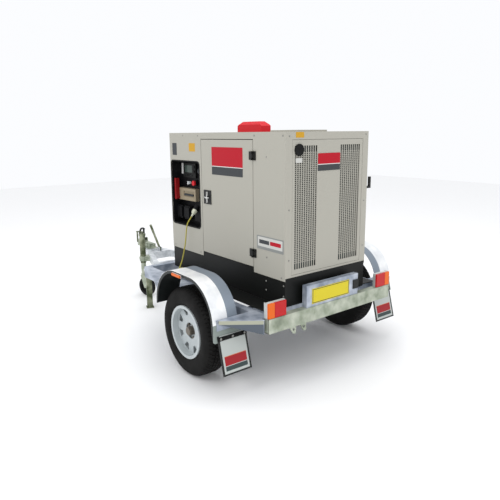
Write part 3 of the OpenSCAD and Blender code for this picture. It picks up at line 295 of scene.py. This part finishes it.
finishes = {
    "canopy": makePaint("canopyPowderCoat", canopyColour, 0.5, 0.1),
    "rearPanel": makePaint("rearPowderCoat", canopyColour, 0.5, 0.1, areasOf["hook"]),
    "doorLeft": makePaint("leftDoorCoat", canopyColour, 0.5, 0.1, doorAreas(-1)),
    "doorRight": makePaint("rightDoorCoat", canopyColour, 0.5, 0.1, doorAreas(1)),
    "black": makePaint("blackSatin", (0.006, 0.0065, 0.006), 0.45, 0.05, shine=0.18),
    "recess": makePaint("recessLining", (0.006, 0.006, 0.007), 0.55, 0.1, shine=0.12),
    "steel": makeGalvanised("zincSteel", (0.29, 0.33, 0.25), (0.52, 0.55, 0.46), 0.5),
    # zinc, tinted blue-grey as painted shade of the shadow the deck lies in
    "deck": makeGalvanised("zincDeckShadeTint", (0.26, 0.30, 0.37), (0.50, 0.54, 0.61), 0.45, deckAreasWithShade()),
    # the guard's zinc is raised to near white, painted sunlight on its top
    "guard": makeGalvanised("zincGuardPaintedSunlight", (0.78, 0.80, 0.82), (0.93, 0.94, 0.93), 0.42,
                            areasOf["guard"], 0.9),
    "brightZinc": makeGalvanised("zincBright", (0.52, 0.55, 0.58), (0.80, 0.82, 0.84), 0.42, (), 0.8),
    "lampCase": makeGalvanised("zincLampCase", (0.50, 0.52, 0.50), (0.66, 0.68, 0.66), 0.45,
                               areasOf["plateLamp"]),
    "olive": makeGalvanised("weatheredZinc", (0.06, 0.075, 0.03), (0.36, 0.38, 0.27), 0.55),
    "white": makePaint("whiteEnamel", (0.74, 0.76, 0.77), 0.3, 0.02),
    "rimPaint": makePaint("rimPaint", (0.46, 0.50, 0.51), 0.35, 0.03),
    "hub": makePaint("hubMetal", (0.16, 0.14, 0.115), 0.4, 0.1, metal=0.4),
    "rubber": makeRubber("moulded", (0.006, 0.006, 0.006)),
    "tyre": makeRubber("tyreRubber", (0.0055, 0.0053, 0.005), 0.7, 120, 0.25),
    "bezel": makePaint("bezelRubber", (0.004, 0.004, 0.004), 0.5, 0.05, shine=0.12),
    "red": makePaint("redCover", (0.60, 0.010, 0.018), 0.4, 0.03, shine=0.2),
    "strap": makePaint("isolatorRed", (0.26, 0.008, 0.010), 0.45, 0.03, shine=0.15),
    "latch": makePaint("latchHandle", darkTrim, 0.4, 0.03, areasOf["latch"]),
    # the breaker box's cream is darkened as painted shade
    "cream": makePaint("creamMouldingShaded", (0.30, 0.25, 0.17), 0.5, 0.03, shine=0.15),
    "plate": makePaint("yellowPlate", (0.66, 0.55, 0.03), 0.4, 0.0, shine=0.15),
    "labelRed": makePaint("labelRed", (0.44, 0.006, 0.018), 0.35, 0.0, shine=0.15),
    "labelGrey": makePaint("labelGrey", (0.05, 0.055, 0.06), 0.4, 0.0, shine=0.15),
    "labelWhite": makePaint("labelWhite", (0.72, 0.72, 0.7), 0.35, 0.0),
    "labelYellow": makePaint("labelYellow", (0.56, 0.31, 0.025), 0.4, 0.0, shine=0.15),
    "paleMark": makePaint("paleSticker", (0.56, 0.56, 0.53), 0.4, 0.0),
    "silver": makePaint("silverBadge", (0.26, 0.27, 0.26), 0.35, 0.0, metal=0.3),
    "screw": makePaint("screwZinc", (0.28, 0.28, 0.26), 0.35, 0.0, metal=0.6),
    "clear": makePaint("palePlug", (0.62, 0.63, 0.5), 0.25, 0.02),
    "sheath": makePaint("leadSheath", (0.42, 0.37, 0.06), 0.45, 0.05),
    "teal": makePaint("ventBacking", (0.05, 0.062, 0.062), 0.6, 0.1),
    "glass": makePaint("screenGlass", (0.05, 0.07, 0.06), 0.08, 0.0),
    "engine": makePaint("engineEnamel", (0.05, 0.055, 0.06), 0.45, 0.08),
    "blue": makePaint("alternatorPaint", (0.05, 0.09, 0.16), 0.4, 0.05),
}
paintUndersideShade(finishes["guard"])

lens = {"red": (0.5, 0.006, 0.008), "amber": (0.75, 0.13, 0.003), "rough": 0.15, "inner": (0.555, 0.66),
        "outer": (0.8, 1.0), "ribScale": 70, "ribBump": 0.25}


def makeLens():
    # red, with amber at the inner end of each tail lamp and on the side markers, and moulded ribs
    mat, tree, shader = newMaterial("tailLens", lens["red"], lens["rough"])
    areas = (bothSides(lens["amber"], anywhere, lens["inner"], anywhere)
             + bothSides(lens["amber"], anywhere, lens["outer"], anywhere))
    paintAreas(tree, shader, lens["red"], areas)
    wave = tree.nodes.new("ShaderNodeTexWave")
    wave.bands_direction = "Z"
    wave.inputs["Scale"].default_value = lens["ribScale"]
    tree.links.new(place(tree), wave.inputs["Vector"])
    addBump(tree, shader, wave.outputs["Fac"], lens["ribBump"])
    return mat


finishOf = {
    "canopy": ["front_enclosure", "roof_panel", "roof_hatch", "rear_grille"],
    "rearPanel": ["rear_enclosure"],
    "doorLeft": ["left_door"],
    "doorRight": ["right_door"],
    "black": ["base_frame", "hinge_pins", "axle", "leaf_springs", "lifting_frame", "controller",
              "cable_gland", "coupling_latch", "fuel_tank", "radiator"],
    "recess": ["control_recess", "sockets"],
    "steel": ["rear_beam", "coupling_body", "jockey_clamp", "jockey_inner_tube", "jockey_fork"],
    "deck": ["chassis_frame", "plate_box"],
    "brightZinc": ["drawbar"],
    "guard": ["left_mudguard", "right_mudguard"],
    "lampCase": ["lamp_housings"],
    "olive": ["jockey_tube", "jockey_crank", "support_leg", "brake_lever"],
    "white": ["key_switch", "fan"],
    "rimPaint": ["left_rim", "right_rim"],
    "hub": ["left_hub", "right_hub"],
    "latch": ["left_latch", "right_latch"],
    "rubber": ["rubber_cap", "mount_feet", "flap_strips", "jockey_wheel"],
    "red": ["lifting_eye_cover", "stop_button", "fuel_cap"],
    "strap": ["isolator_handle"],
    "cream": ["breaker_box"],
    "plate": ["number_plate"],
    "clear": ["plug"],
    "engine": ["engine"],
    "blue": ["alternator"],
}


def setFinish(name, mat):
    slots = nodes[name].material_slots
    if not len(slots):
        nodes[name].data.materials.append(mat)
    for s in nodes[name].material_slots:
        s.material = mat


for finish, names in finishOf.items():
    for name in names:
        setFinish(name, finishes[finish])
setFinish("lamp_lenses", makeLens())
print("finishes set")


def addPiece(name, points, faces, mat, body="trailer", slotName="galvanised", smooth=False):
    mesh = bpy.data.meshes.new(name)
    mesh.from_pydata(points.reshape(-1, 3).tolist(), [], faces if isinstance(faces, list) else faces.tolist())
    mesh.polygons.foreach_set("use_smooth", np.full(len(mesh.polygons), smooth))
    mesh.materials.append(mat)
    mesh.update()
    piece = bpy.data.objects.new(name, mesh)
    bpy.context.scene.collection.objects.link(piece)
    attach(piece, body)
    return piece


mergeWithin = 1e-6


def closeMesh(piece):
    # joins the points that coincide and turns every face outwards
    work = bmesh.new()
    work.from_mesh(piece.data)
    bmesh.ops.remove_doubles(work, verts=work.verts, dist=mergeWithin)
    bmesh.ops.recalc_face_normals(work, faces=work.faces)
    work.to_mesh(piece.data)
    work.free()


def gridFaces(rows, sides, closed=False):
    # four points each: (row, side), its next side, both on the next row; every row is a loop,
    # and closed joins the last row to the first
    i, j = np.meshgrid(np.arange(rows if closed else rows - 1), np.arange(sides), indexing="ij")
    up, along = (i + 1) % rows, (j + 1) % sides
    faces = np.stack([i * sides + j, i * sides + along, up * sides + along, up * sides + j], -1)
    return faces.reshape(-1, 4)


def circle(sides, u, v):
    # cos(angle) times u plus sin(angle) times v, once round; u and v may be one for each row
    angle = np.linspace(0, 2 * pi, sides, endpoint=False)[:, None]
    return np.cos(angle) * u[..., None, :] + np.sin(angle) * v[..., None, :]


cubeCorners = np.array([[x, y, z] for x in (0, 1) for y in (0, 1) for z in (0, 1)], float)
cubeFaces = np.array([[0, 1, 3, 2], [4, 6, 7, 5], [0, 4, 5, 1], [2, 3, 7, 6], [0, 2, 6, 4], [1, 5, 7, 3]])


def boxes(name, lows, highs, mat, **more):
    # many boxes at once: low corner plus the unit cube times (high corner less low corner)
    low = np.array(lows, float)[:, None, :]
    high = np.array(highs, float)[:, None, :]
    points = low + cubeCorners[None] * (high - low)
    faces = cubeFaces[None] + len(cubeCorners) * np.arange(len(lows))[:, None, None]
    return addPiece(name, points, faces.reshape(-1, 4), mat, **more)


turnAxes = {"x": ((0, 1, 0), (0, 0, 1), (1, 0, 0)), "y": ((0, 0, 1), (1, 0, 0), (0, 1, 0))}
slabAxes = {"x": ((0, 1, 0), (0, 0, 1), (1, 0, 0)), "y": ((1, 0, 0), (0, 0, 1), (0, 1, 0))}


def turned(name, places, profile, axis, mat, sides=24, flip=1, **more):
    # solids of revolution: place + radius times the circle + height times the axis, where the
    # profile is (radius, height) from one pole to the other; flip -1 points them the other way
    u, v, w = (np.array(a, float) for a in turnAxes[axis])
    prof = np.array(profile, float)
    one = prof[:, None, :1] * circle(sides, u, v) + (flip * prof[:, 1])[:, None, None] * w
    points = np.array(places, float)[:, None, None, :] + one
    quads = gridFaces(len(prof), sides)
    if flip < 0:
        quads = quads[:, ::-1]
    faces = quads[None] + len(prof) * sides * np.arange(len(places))[:, None, None]
    piece = addPiece(name, points, faces.reshape(-1, 4), mat, smooth=True, **more)
    closeMesh(piece)
    return piece


def domeHead(r, h):
    # profile of a low domed head, radius r and height h
    return [(0, h), (r * 0.55, h * 0.92), (r * 0.9, h * 0.5), (r, 0), (0, 0)]


def roundedLoop(x0, z0, x1, z1, r, arc):
    # a rectangle with round corners: each corner's centre plus r times (cos, sin) over a quarter turn
    a = np.linspace(0, pi / 2, arc)
    centres = ((x1 - r, z1 - r), (x0 + r, z1 - r), (x0 + r, z0 + r), (x1 - r, z0 + r))
    return np.concatenate([np.stack([x + r * np.cos(a + q * pi / 2), z + r * np.sin(a + q * pi / 2)], -1)
                           for q, (x, z) in enumerate(centres)])


def roundedSlab(name, edges, radius, axis, at, thick, mat, body="trailer", slotName="canopy_paint", arc=6):
    # a flat label: the rounded outline at one height on the axis and again at that height plus thick
    u, v, w = (np.array(a, float) for a in slabAxes[axis])
    loop = roundedLoop(*edges, radius, arc)
    flat = loop[:, :1] * u + loop[:, 1:] * v
    points = np.concatenate([flat + w * at, flat + w * (at + thick)])
    n = len(loop)
    faces = [list(range(n))[::-1], list(range(n, 2 * n))] + gridFaces(2, n).tolist()
    piece = addPiece(name, points, faces, mat, body=body, slotName=slotName)
    closeMesh(piece)
    return piece


def makeRing(name, outer, inner, face, depth, mat, arc=7, **more):
    # a flat frame on the left face: the outer outline, the same further out, the inner one
    # there, and the inner one back on the face, joined in a loop
    big, small = roundedLoop(*outer, arc), roundedLoop(*inner, arc)
    layers = [(big, face), (big, face - depth), (small, face - depth), (small, face)]
    points = np.concatenate([np.stack([p[:, 0], np.full(len(p), y), p[:, 1]], -1) for p, y in layers])
    piece = addPiece(name, points, gridFaces(len(layers), len(big), closed=True), mat, **more)
    closeMesh(piece)
    return piece


lead = {"radius": 0.005, "sides": 14, "steps": 4, "stiffness": "medium", "tilt": (1, 0.2, 0), "route": [
    (.230, -.450, .582), (.230, -.457, .582), (.2295, -.464, .5815), (.226, -.474, .5785),
    (.219, -.489, .572), (.209, -.507, .563), (.200, -.528, .554), (.195, -.551, .546),
    (.197, -.572, .542), (.206, -.588, .5413), (.222, -.594, .5413), (.239, -.588, .5413),
    (.252, -.572, .544), (.259, -.548, .553), (.261, -.523, .569), (.261, -.502, .594),
    (.262, -.487, .622), (.266, -.477, .652), (.272, -.470, .685), (.279, -.465, .720),
    (.286, -.461, .755), (.292, -.457, .790), (.296, -.453, .825), (.298, -.450, .860),
    (.299, -.447, .890), (.301, -.445, .915), (.305, -.443, .940), (.311, -.441, .960),
    (.318, -.438, .978), (.326, -.433, .994), (.332, -.426, 1.008), (.335, -.4182, 1.02015),
    (.335, -.412, 1.028)]}  # from the gland in the base up to the plug


def smoothRoute(pts, steps):
    # a curve through every point: between two of them it is a cubic in t, set by those two
    # and their neighbours, with half the neighbours' difference as its slope at each
    t = np.linspace(0, 1, steps, endpoint=False)[None, :, None]
    before = np.concatenate([pts[:1] * 2 - pts[1:2], pts[:-1]])[:, None]
    after = np.concatenate([pts[1:], pts[-1:] * 2 - pts[-2:-1]])[:, None]
    beyond = np.concatenate([pts[2:], (pts[-1:] * 2 - pts[-2:-1]).repeat(2, 0)])[:, None]
    here = pts[:, None]
    curve = 0.5 * (2 * here + (after - before) * t + (2 * before - 5 * here + 4 * after - beyond) * t ** 2
                   + (3 * here - before - 3 * after + beyond) * t ** 3)
    return np.concatenate([curve[:-1].reshape(-1, 3), pts[-1:]])


def makeLead():
    # a tube: each step of the curve plus the radius times a circle square to the curve there
    pts = np.array(lead["route"])
    line = smoothRoute(pts, lead["steps"])
    ahead = np.gradient(line, axis=0)
    ahead[0], ahead[-1] = pts[1] - pts[0], pts[-1] - pts[-2]
    ahead /= np.linalg.norm(ahead, axis=1)[:, None]
    u = np.cross(lead["tilt"], ahead)
    u /= np.linalg.norm(u, axis=1)[:, None]
    points = line[:, None] + lead["radius"] * circle(lead["sides"], u, np.cross(ahead, u))
    rows, n = points.shape[:2]
    faces = gridFaces(rows, n).tolist() + [list(range(n))[::-1], list(range((rows - 1) * n, rows * n))]
    piece = addPiece("leadTube", points, faces, finishes["sheath"], slotName="lead_sheath", smooth=True)
    closeMesh(piece)
    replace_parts(piece, "lead")


makeLead()

tyre = {"axleX": 0.910, "axleZ": 0.3207, "middleY": 0.761, "turns": 384, "blocks": 64, "sharp": 32,
        "grooves": (-0.038, -0.013, 0.013, 0.038), "grooveDepth": 0.007, "grooveHalf": 0.003,
        "grooveWall": 0.0002,
        "ribs": (-0.047, -0.025, 0.0, 0.025, 0.047), "crown": 0.3207, "crownFall": 0.55,
        "sipeDepth": 0.0045, "shoulderSipe": 1.5, "shoulder": 0.3185, "treadFrom": 0.3,
        "skewWidth": 0.0255, "skewSteps": 2,
        "half": [(0.055, 0.1785), (0.0735, 0.1785), (0.0745, 0.1912), (0.080, 0.196), (0.0865, 0.207),
                 (0.0915, 0.224), (0.0942, 0.242), (0.0948, 0.257), (0.0935, 0.273), (0.0895, 0.288),
                 (0.083, 0.300), (0.0735, 0.3095), (0.0655, 0.3145), (0.0585, 0.3175), (0.0525, 0.3192)],
        "inner": [(-0.05, 0.195), (-0.072, 0.24), (-0.055, 0.295), (0.0, 0.303), (0.055, 0.295),
                  (0.072, 0.24), (0.05, 0.195)]}


def makeTyre(side, body):
    # points (axle + radius cos, middle + y, axle + radius sin): the profile (y, radius) goes from
    # bead to bead over a crown that falls with y squared, and back inside; the radius is lowered
    # in the running grooves, and in slots that repeat round the wheel
    half = np.array(tyre["half"])
    wide, wall = tyre["grooveHalf"], tyre["grooveWall"]
    edges = [g + e for g in tyre["grooves"] for e in (-wide - wall, -wide + wall, wide - wall, wide + wall)]
    crownY = np.array(sorted(set(edges) | set(tyre["ribs"])))[::-1]
    crown = np.stack([crownY, tyre["crown"] - tyre["crownFall"] * crownY ** 2], -1)
    outside = np.concatenate([half, crown, half[::-1] * (-1, 1)])
    prof = np.concatenate([outside, tyre["inner"]])
    y, r = prof[:, 0], prof[:, 1]
    outer = np.arange(len(prof)) < len(outside)
    off = np.abs(y[:, None] - np.array(tyre["grooves"])).min(1)
    groove = (off < tyre["grooveHalf"]) & outer
    per = tyre["turns"] // tyre["blocks"]
    skew = np.round(y / tyre["skewWidth"]).astype(int) * tyre["skewSteps"]
    slot = (np.arange(tyre["turns"])[:, None] + skew) % per == 0
    tread = outer & (r > tyre["treadFrom"])
    slotDepth = tyre["sipeDepth"] * np.where(r > tyre["shoulder"], 1, tyre["shoulderSipe"])
    radius = r - np.maximum(slot * tread * slotDepth, groove * tyre["grooveDepth"])
    theta = np.linspace(0, 2 * pi, tyre["turns"], endpoint=False)[:, None]
    points = np.stack([tyre["axleX"] + radius * np.cos(theta),
                       np.broadcast_to(side * tyre["middleY"] + y, radius.shape),
                       tyre["axleZ"] + radius * np.sin(theta)], -1)
    piece = addPiece(body + "TyreTread", points, gridFaces(*radius.shape, closed=True), finishes["tyre"],
                     body=body, slotName="tyre_rubber", smooth=True)
    closeMesh(piece)
    piece.data.set_sharp_from_angle(angle=radians(tyre["sharp"]))
    return piece


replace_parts(makeTyre(-1, "left_wheel"), "left_tyre")
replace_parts(makeTyre(1, "right_wheel"), "right_tyre")
print("tyres made")

vents = {"fields": ((-0.3175, -0.1145), (0.1085, 0.3115)), "low": 0.796, "top": 1.608, "fringe": 0.040,
         "pitch": 0.0125, "bar": 0.0045, "front": 1.4555, "thick": 0.0016, "backX": (1.432, 1.436),
         "overlap": 0.01}


def makeVents():
    # thin cross bars, one a pitch, turn the long slots into rows of small holes, with a plain
    # fringe at each end, and a dark sheet stands behind them
    z = np.arange(vents["low"] + vents["fringe"], vents["top"] - vents["fringe"], vents["pitch"])
    x, more = vents["front"], vents["overlap"]
    lows, highs = [], []
    for y0, y1 in vents["fields"]:
        lows += np.stack([np.full(len(z), x - vents["thick"]), np.full(len(z), y0), z], -1).tolist()
        highs += np.stack([np.full(len(z), x), np.full(len(z), y1), z + vents["bar"]], -1).tolist()
    boxes("ventBars", lows, highs, finishes["canopy"], slotName="canopy_paint")
    back = [[vents["backX"][0], y0 - more, vents["low"] - more] for y0, y1 in vents["fields"]]
    front = [[vents["backX"][1], y1 + more, vents["top"] + more] for y0, y1 in vents["fields"]]
    boxes("ventBacking", back, front, finishes["teal"], slotName="black_plastic")


makeVents()

plateEdge = {"inset": 0.004, "width": 0.004, "thick": 0.0006}
beamCaps = {"x": (1.4905, 1.5390), "y": (0.6020, 0.6040), "z": (0.4385, 0.5355)}


def makePlateEdge():
    # a narrow dark edge of four strips just inside the plate's outline
    low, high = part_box("number_plate")
    x, e, w, t = high[0], plateEdge["inset"], plateEdge["width"], plateEdge["thick"]
    y0, y1, z0, z1 = low[1] + e, high[1] - e, low[2] + e, high[2] - e
    lows = [[x, y0, z0], [x, y0, z1 - w], [x, y0, z0], [x, y1 - w, z0]]
    highs = [[x + t, y1, z0 + w], [x + t, y1, z1], [x + t, y0 + w, z1], [x + t, y1, z1]]
    boxes("plateEdge", lows, highs, finishes["labelGrey"], slotName="black_plastic")


def makeBeamCaps():
    # thin plates over the ends of the rear beam's open channel
    (x0, x1), (y0, y1), (z0, z1) = (beamCaps[k] for k in "xyz")
    boxes("beamEndCaps", [[x0, -y1, z0], [x0, y0, z0]], [[x1, -y0, z1], [x1, y1, z1]], finishes["steel"])


makePlateEdge()
makeBeamCaps()
print("vents and plate edge made")

# each label: name, from and to along the face, from and to in height, finish, corner radius, lift
labels = {
    "leftFace": -0.3985, "rearFace": 1.4602,
    "onDoor": [("doorLabelGrey", 0.630, 1.015, 1.386, 1.448, "labelGrey", 0.004, 0.0008),
               ("doorLabelRed", 0.630, 1.015, 1.447, 1.591, "labelRed", 0.004, 0.0010),
               ("doorLabelLine", 0.630, 1.015, 1.4465, 1.4515, "labelWhite", 0.001, 0.0013)],
    "onLeft": [("frontSticker", 0.042, 0.112, 1.517, 1.615, "labelGrey", 0.004, 0.0008),
               ("yellowSticker", 0.305, 0.396, 1.551, 1.616, "labelYellow", 0.004, 0.0008),
               ("silverBadge", 1.169, 1.446, 0.908, 1.003, "silver", 0.006, 0.0008),
               ("badgePanel", 1.180, 1.435, 0.928, 0.994, "paleMark", 0.004, 0.0012),
               ("badgeBar", 1.195, 1.300, 0.948, 0.975, "labelGrey", 0.003, 0.0016),
               ("badgeBarRed", 1.310, 1.420, 0.948, 0.975, "labelRed", 0.003, 0.0016)],
    "onRear": [("rearLabelGrey", -0.110, 0.104, 1.439, 1.480, "labelGrey", 0.004, 0.0008),
               ("rearLabelRed", -0.110, 0.104, 1.483, 1.555, "labelRed", 0.004, 0.0010),
               ("rearLabelLine", -0.110, 0.104, 1.4800, 1.4845, "labelWhite", 0.001, 0.0012),
               ("rearYellow", -0.311, -0.240, 1.659, 1.694, "labelYellow", 0.004, 0.0008),
               ("rearPale", -0.312, -0.254, 1.500, 1.530, "paleMark", 0.004, 0.0008)],
}


def makeLabels():
    # plain colour blocks on the left door, the left side and the rear face
    for group, body in (("onDoor", "door_left"), ("onLeft", "trailer")):
        for name, x0, x1, z0, z1, finish, radius, lift in labels[group]:
            roundedSlab(name, (x0, z0, x1, z1), radius, "y", labels["leftFace"] - lift, lift,
                        finishes[finish], body=body)
    for name, y0, y1, z0, z1, finish, radius, lift in labels["onRear"]:
        roundedSlab(name, (y0, z0, y1, z1), radius, "x", labels["rearFace"], lift, finishes[finish])


makeLabels()
print("labels made")

screws = {
    "sides": 16, "head": (0.006, 0.003), "sideFace": 0.3985, "rearFace": 1.46,
    "side": [(0.216, 1.674), (0.439, 1.674), (1.144, 1.673), (1.435, 1.672), (1.271, 1.536),
             (1.273, 0.859), (1.425, 0.747), (0.036, 0.748), (0.439, 0.748)],
    "rear": [(-0.366, 1.670), (0.370, 1.676), (-0.366, 1.20), (0.370, 1.20), (-0.366, 0.866), (0.370, 0.866)],
    "boltHead": (0.007, 0.004), "baseFace": 0.3955,
    "base": [(1.264, 0.690), (1.264, 0.626), (1.443, 0.694), (1.443, 0.622)],
}


def makeScrews():
    # domed screw heads along the canopy's edges, and bolt heads on the base's rear feet
    shared = {"sides": screws["sides"], "slotName": "bright_steel"}
    head, bolt = domeHead(*screws["head"]), domeHead(*screws["boltHead"])
    for name, side in (("leftScrews", -1), ("rightScrews", 1)):
        spots = [(x, side * screws["sideFace"], z) for x, z in screws["side"]]
        turned(name, spots, head, "y", finishes["screw"], flip=side, **shared)
    spots = [(screws["rearFace"], y, z) for y, z in screws["rear"]]
    turned("rearScrews", spots, head, "x", finishes["screw"], **shared)
    for name, side in (("baseBoltsLeft", -1), ("baseBoltsRight", 1)):
        spots = [(x, side * screws["baseFace"], z) for x, z in screws["base"]]
        turned(name, spots, bolt, "y", finishes["screw"], flip=side, **shared)


makeScrews()
print("screws made")

recess = {
    "screen": ((0.108, -0.3248, 1.3720), (0.224, -0.3238, 1.4310)),
    "rail": ((0.118, -0.3425, 1.173), (0.282, -0.3405, 1.214)),
    "sticker": {"edges": (0.0295, 1.355, 0.0745, 1.445), "radius": 0.003, "at": -0.3093, "thick": 0.0008},
    "levers": {"count": 8, "x": 0.130, "pitch": 0.018, "width": 0.012, "y": (-0.3525, -0.3415),
               "z": (1.180, 1.196)},
    "panelFace": -0.3268,
    "gauges": {"x": (0.328, 0.388), "z": 1.390, "radius": 0.021, "thick": 0.0006, "sides": 32},
    "lamps": {"count": 7, "x": 0.104, "pitch": 0.020, "z": 1.350, "head": (0.004, 0.002), "sides": 12},
    "bezel": {"outer": (0.006, 0.936, 0.4565, 1.477, 0.036), "inner": (0.017, 0.947, 0.4475, 1.467, 0.028),
              "face": -0.3985, "depth": 0.003},
}


def makeRecessTrim():
    # the screen's pane, a sticker, the breakers' levers and rail, gauge faces, lamps and the bezel
    low, high = recess["screen"]
    boxes("screenPane", [low], [high], finishes["glass"], slotName="black_plastic")
    part = recess["sticker"]
    roundedSlab("recessSticker", part["edges"], part["radius"], "y", part["at"], part["thick"],
                finishes["labelWhite"], slotName="white_plastic")
    part = recess["levers"]
    x = part["x"] + part["pitch"] * np.arange(part["count"])
    lows, highs = (np.stack([x + wide, np.full(len(x), part["y"][k]), np.full(len(x), part["z"][k])], -1)
                   for k, wide in ((0, 0), (1, part["width"])))
    boxes("breakerLevers", lows, highs, finishes["labelGrey"], slotName="black_plastic")
    low, high = recess["rail"]
    boxes("breakerRail", [low], [high], finishes["cream"], slotName="cream_plastic")
    part = recess["gauges"]
    r, t = part["radius"], part["thick"]
    spots = [(x, recess["panelFace"], part["z"]) for x in part["x"]]
    turned("gaugeFaces", spots, [(0, t), (r, t), (r, 0), (0, 0)], "y", finishes["labelGrey"], part["sides"], -1,
           slotName="black_plastic")
    part = recess["lamps"]
    spots = [(part["x"] + part["pitch"] * k, recess["panelFace"], part["z"]) for k in range(part["count"])]
    turned("panelLamps", spots, domeHead(*part["head"]), "y", finishes["labelGrey"], part["sides"], -1,
           slotName="black_plastic")
    part = recess["bezel"]
    makeRing("recessBezel", part["outer"], part["inner"], part["face"], part["depth"], finishes["bezel"],
             slotName="black_rubber")


makeRecessTrim()

flap = {"y": (0.643, 0.867), "rough": 0.42, "edge": 0.013, "top": 0.5, "low": 0.192, "pale": (0.46, 0.49, 0.47),
        "inset": 0.026, "bands": [((0.55, 0.16, 0.07), 0.296, 0.300), ((0.33, 0.008, 0.014), 0.240, 0.296),
                                  ((0.035, 0.055, 0.055), 0.208, 0.236)]}  # colour, from and to in height


def flapFinish(name, side):
    # a pale sheet with a black edge, then a red band and a dark one, with a pale rim between
    mat, tree, shader = newMaterial(name, darkTrim, flap["rough"])
    y0, y1 = sorted(side * y for y in flap["y"])
    edge, inset = flap["edge"], flap["inset"]
    areas = [(flap["pale"], (None, y0 + edge, flap["low"]), (None, y1 - edge, flap["top"]))]
    areas += [(colour, (None, y0 + inset, z0), (None, y1 - inset, z1)) for colour, z0, z1 in flap["bands"]]
    paintAreas(tree, shader, darkTrim, areas)
    return mat


def makeFlaps():
    # each flap takes its own banded finish, by a copy of the solid's triangles on that side
    source = nodes["mud_flaps"].data
    co = np.empty(len(source.vertices) * 3)
    source.vertices.foreach_get("co", co)
    co = co.reshape(-1, 3)
    faces = np.empty(len(source.loops), int)
    source.loops.foreach_get("vertex_index", faces)
    faces = faces.reshape(-1, 3)
    pieces = []
    for side, name, mat in ((-1, "leftFlap", "flapSheetLeft"), (1, "rightFlap", "flapSheetRight")):
        keep = np.sign(co[faces[:, 0], 1]) == side
        used, back = np.unique(faces[keep], return_inverse=True)
        piece = addPiece(name, co[used], back.reshape(-1, 3), flapFinish(mat, side), slotName="flap_plastic")
        closeMesh(piece)
        pieces.append(piece)
    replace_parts(pieces[0], "mud_flaps")


stripBolts = {"middle": 0.755, "apart": 0.092, "sunk": 0.0045, "head": (0.009, 0.004), "sides": 16}


def makeStripBolts():
    # three bolt heads on each flap's strip
    low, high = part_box("flap_strips")
    x, z = high[0] - stripBolts["sunk"], (low[2] + high[2]) / 2
    spots = [(x, s * (stripBolts["middle"] + k * stripBolts["apart"]), z) for s in (-1, 1) for k in (-1, 0, 1)]
    turned("stripBolts", spots, domeHead(*stripBolts["head"]), "x", finishes["screw"], stripBolts["sides"],
           slotName="bright_steel")


foam = {"x": (0.625, 1.095), "y": (0.3780, 0.3930), "z": (0.800, 1.610)}


def makeDoorFoam():
    # sound-proofing sheets inside the doors, clear of the latch
    (x0, x1), (y0, y1), (z0, z1) = (foam[k] for k in "xyz")
    boxes("leftDoorFoam", [[x0, -y1, z0]], [[x1, -y0, z1]], finishes["rubber"], body="door_left",
          slotName="black_rubber")
    boxes("rightDoorFoam", [[x0, y0, z0]], [[x1, y1, z1]], finishes["rubber"], body="door_right",
          slotName="black_rubber")


makeFlaps()
makeDoorFoam()
makeStripBolts()
print("recess, flaps and foam made")

stage = {"half": 14, "drop": 0.001, "floor": (0.93, 0.93, 0.93), "floorRough": 0.9,
         "sky": (0.97, 0.98, 1.0), "skyStrength": 1.0,
         "lamps": {"key": ((1.5, -5.5, 5.5), (0.4, 0, 0.7), 3.0, 90),  # place, target, size, power
                   "rear": ((6.5, 1.0, 4.0), (1.0, 0, 0.8), 3.0, 40),
                   "top": ((0.5, 0.5, 6.5), (0.5, 0, 0), 4.0, 110)}}


def makeStage():
    # a pale floor just under the tyres, a pale sky, and three soft lamps
    mat = newMaterial("paleFloor", stage["floor"], stage["floorRough"])[0]
    h, z = stage["half"], -stage["drop"]
    mesh = bpy.data.meshes.new("floor")
    mesh.from_pydata([(-h, -h, z), (h, -h, z), (h, h, z), (-h, h, z)], [], [(0, 1, 2, 3)])
    mesh.materials.append(mat)
    floor = bpy.data.objects.new("floor", mesh)
    bpy.context.scene.collection.objects.link(floor)
    world = bpy.data.worlds.new("studio")
    bpy.context.scene.world = world
    world.use_nodes = True
    sky = world.node_tree.nodes["Background"]
    sky.inputs["Color"].default_value = (*stage["sky"], 1)
    sky.inputs["Strength"].default_value = stage["skyStrength"]
    for name, (where, target, size, power) in stage["lamps"].items():
        data = bpy.data.lights.new(name, "AREA")
        data.size = size
        data.energy = power
        lamp = bpy.data.objects.new(name, data)
        lamp.location = where
        aim = Vector(target) - Vector(where)
        lamp.rotation_euler = aim.to_track_quat("-Z", "Y").to_euler()
        bpy.context.scene.collection.objects.link(lamp)
    bpy.context.scene.view_settings.view_transform = "Standard"


makeStage()
print("stage made")
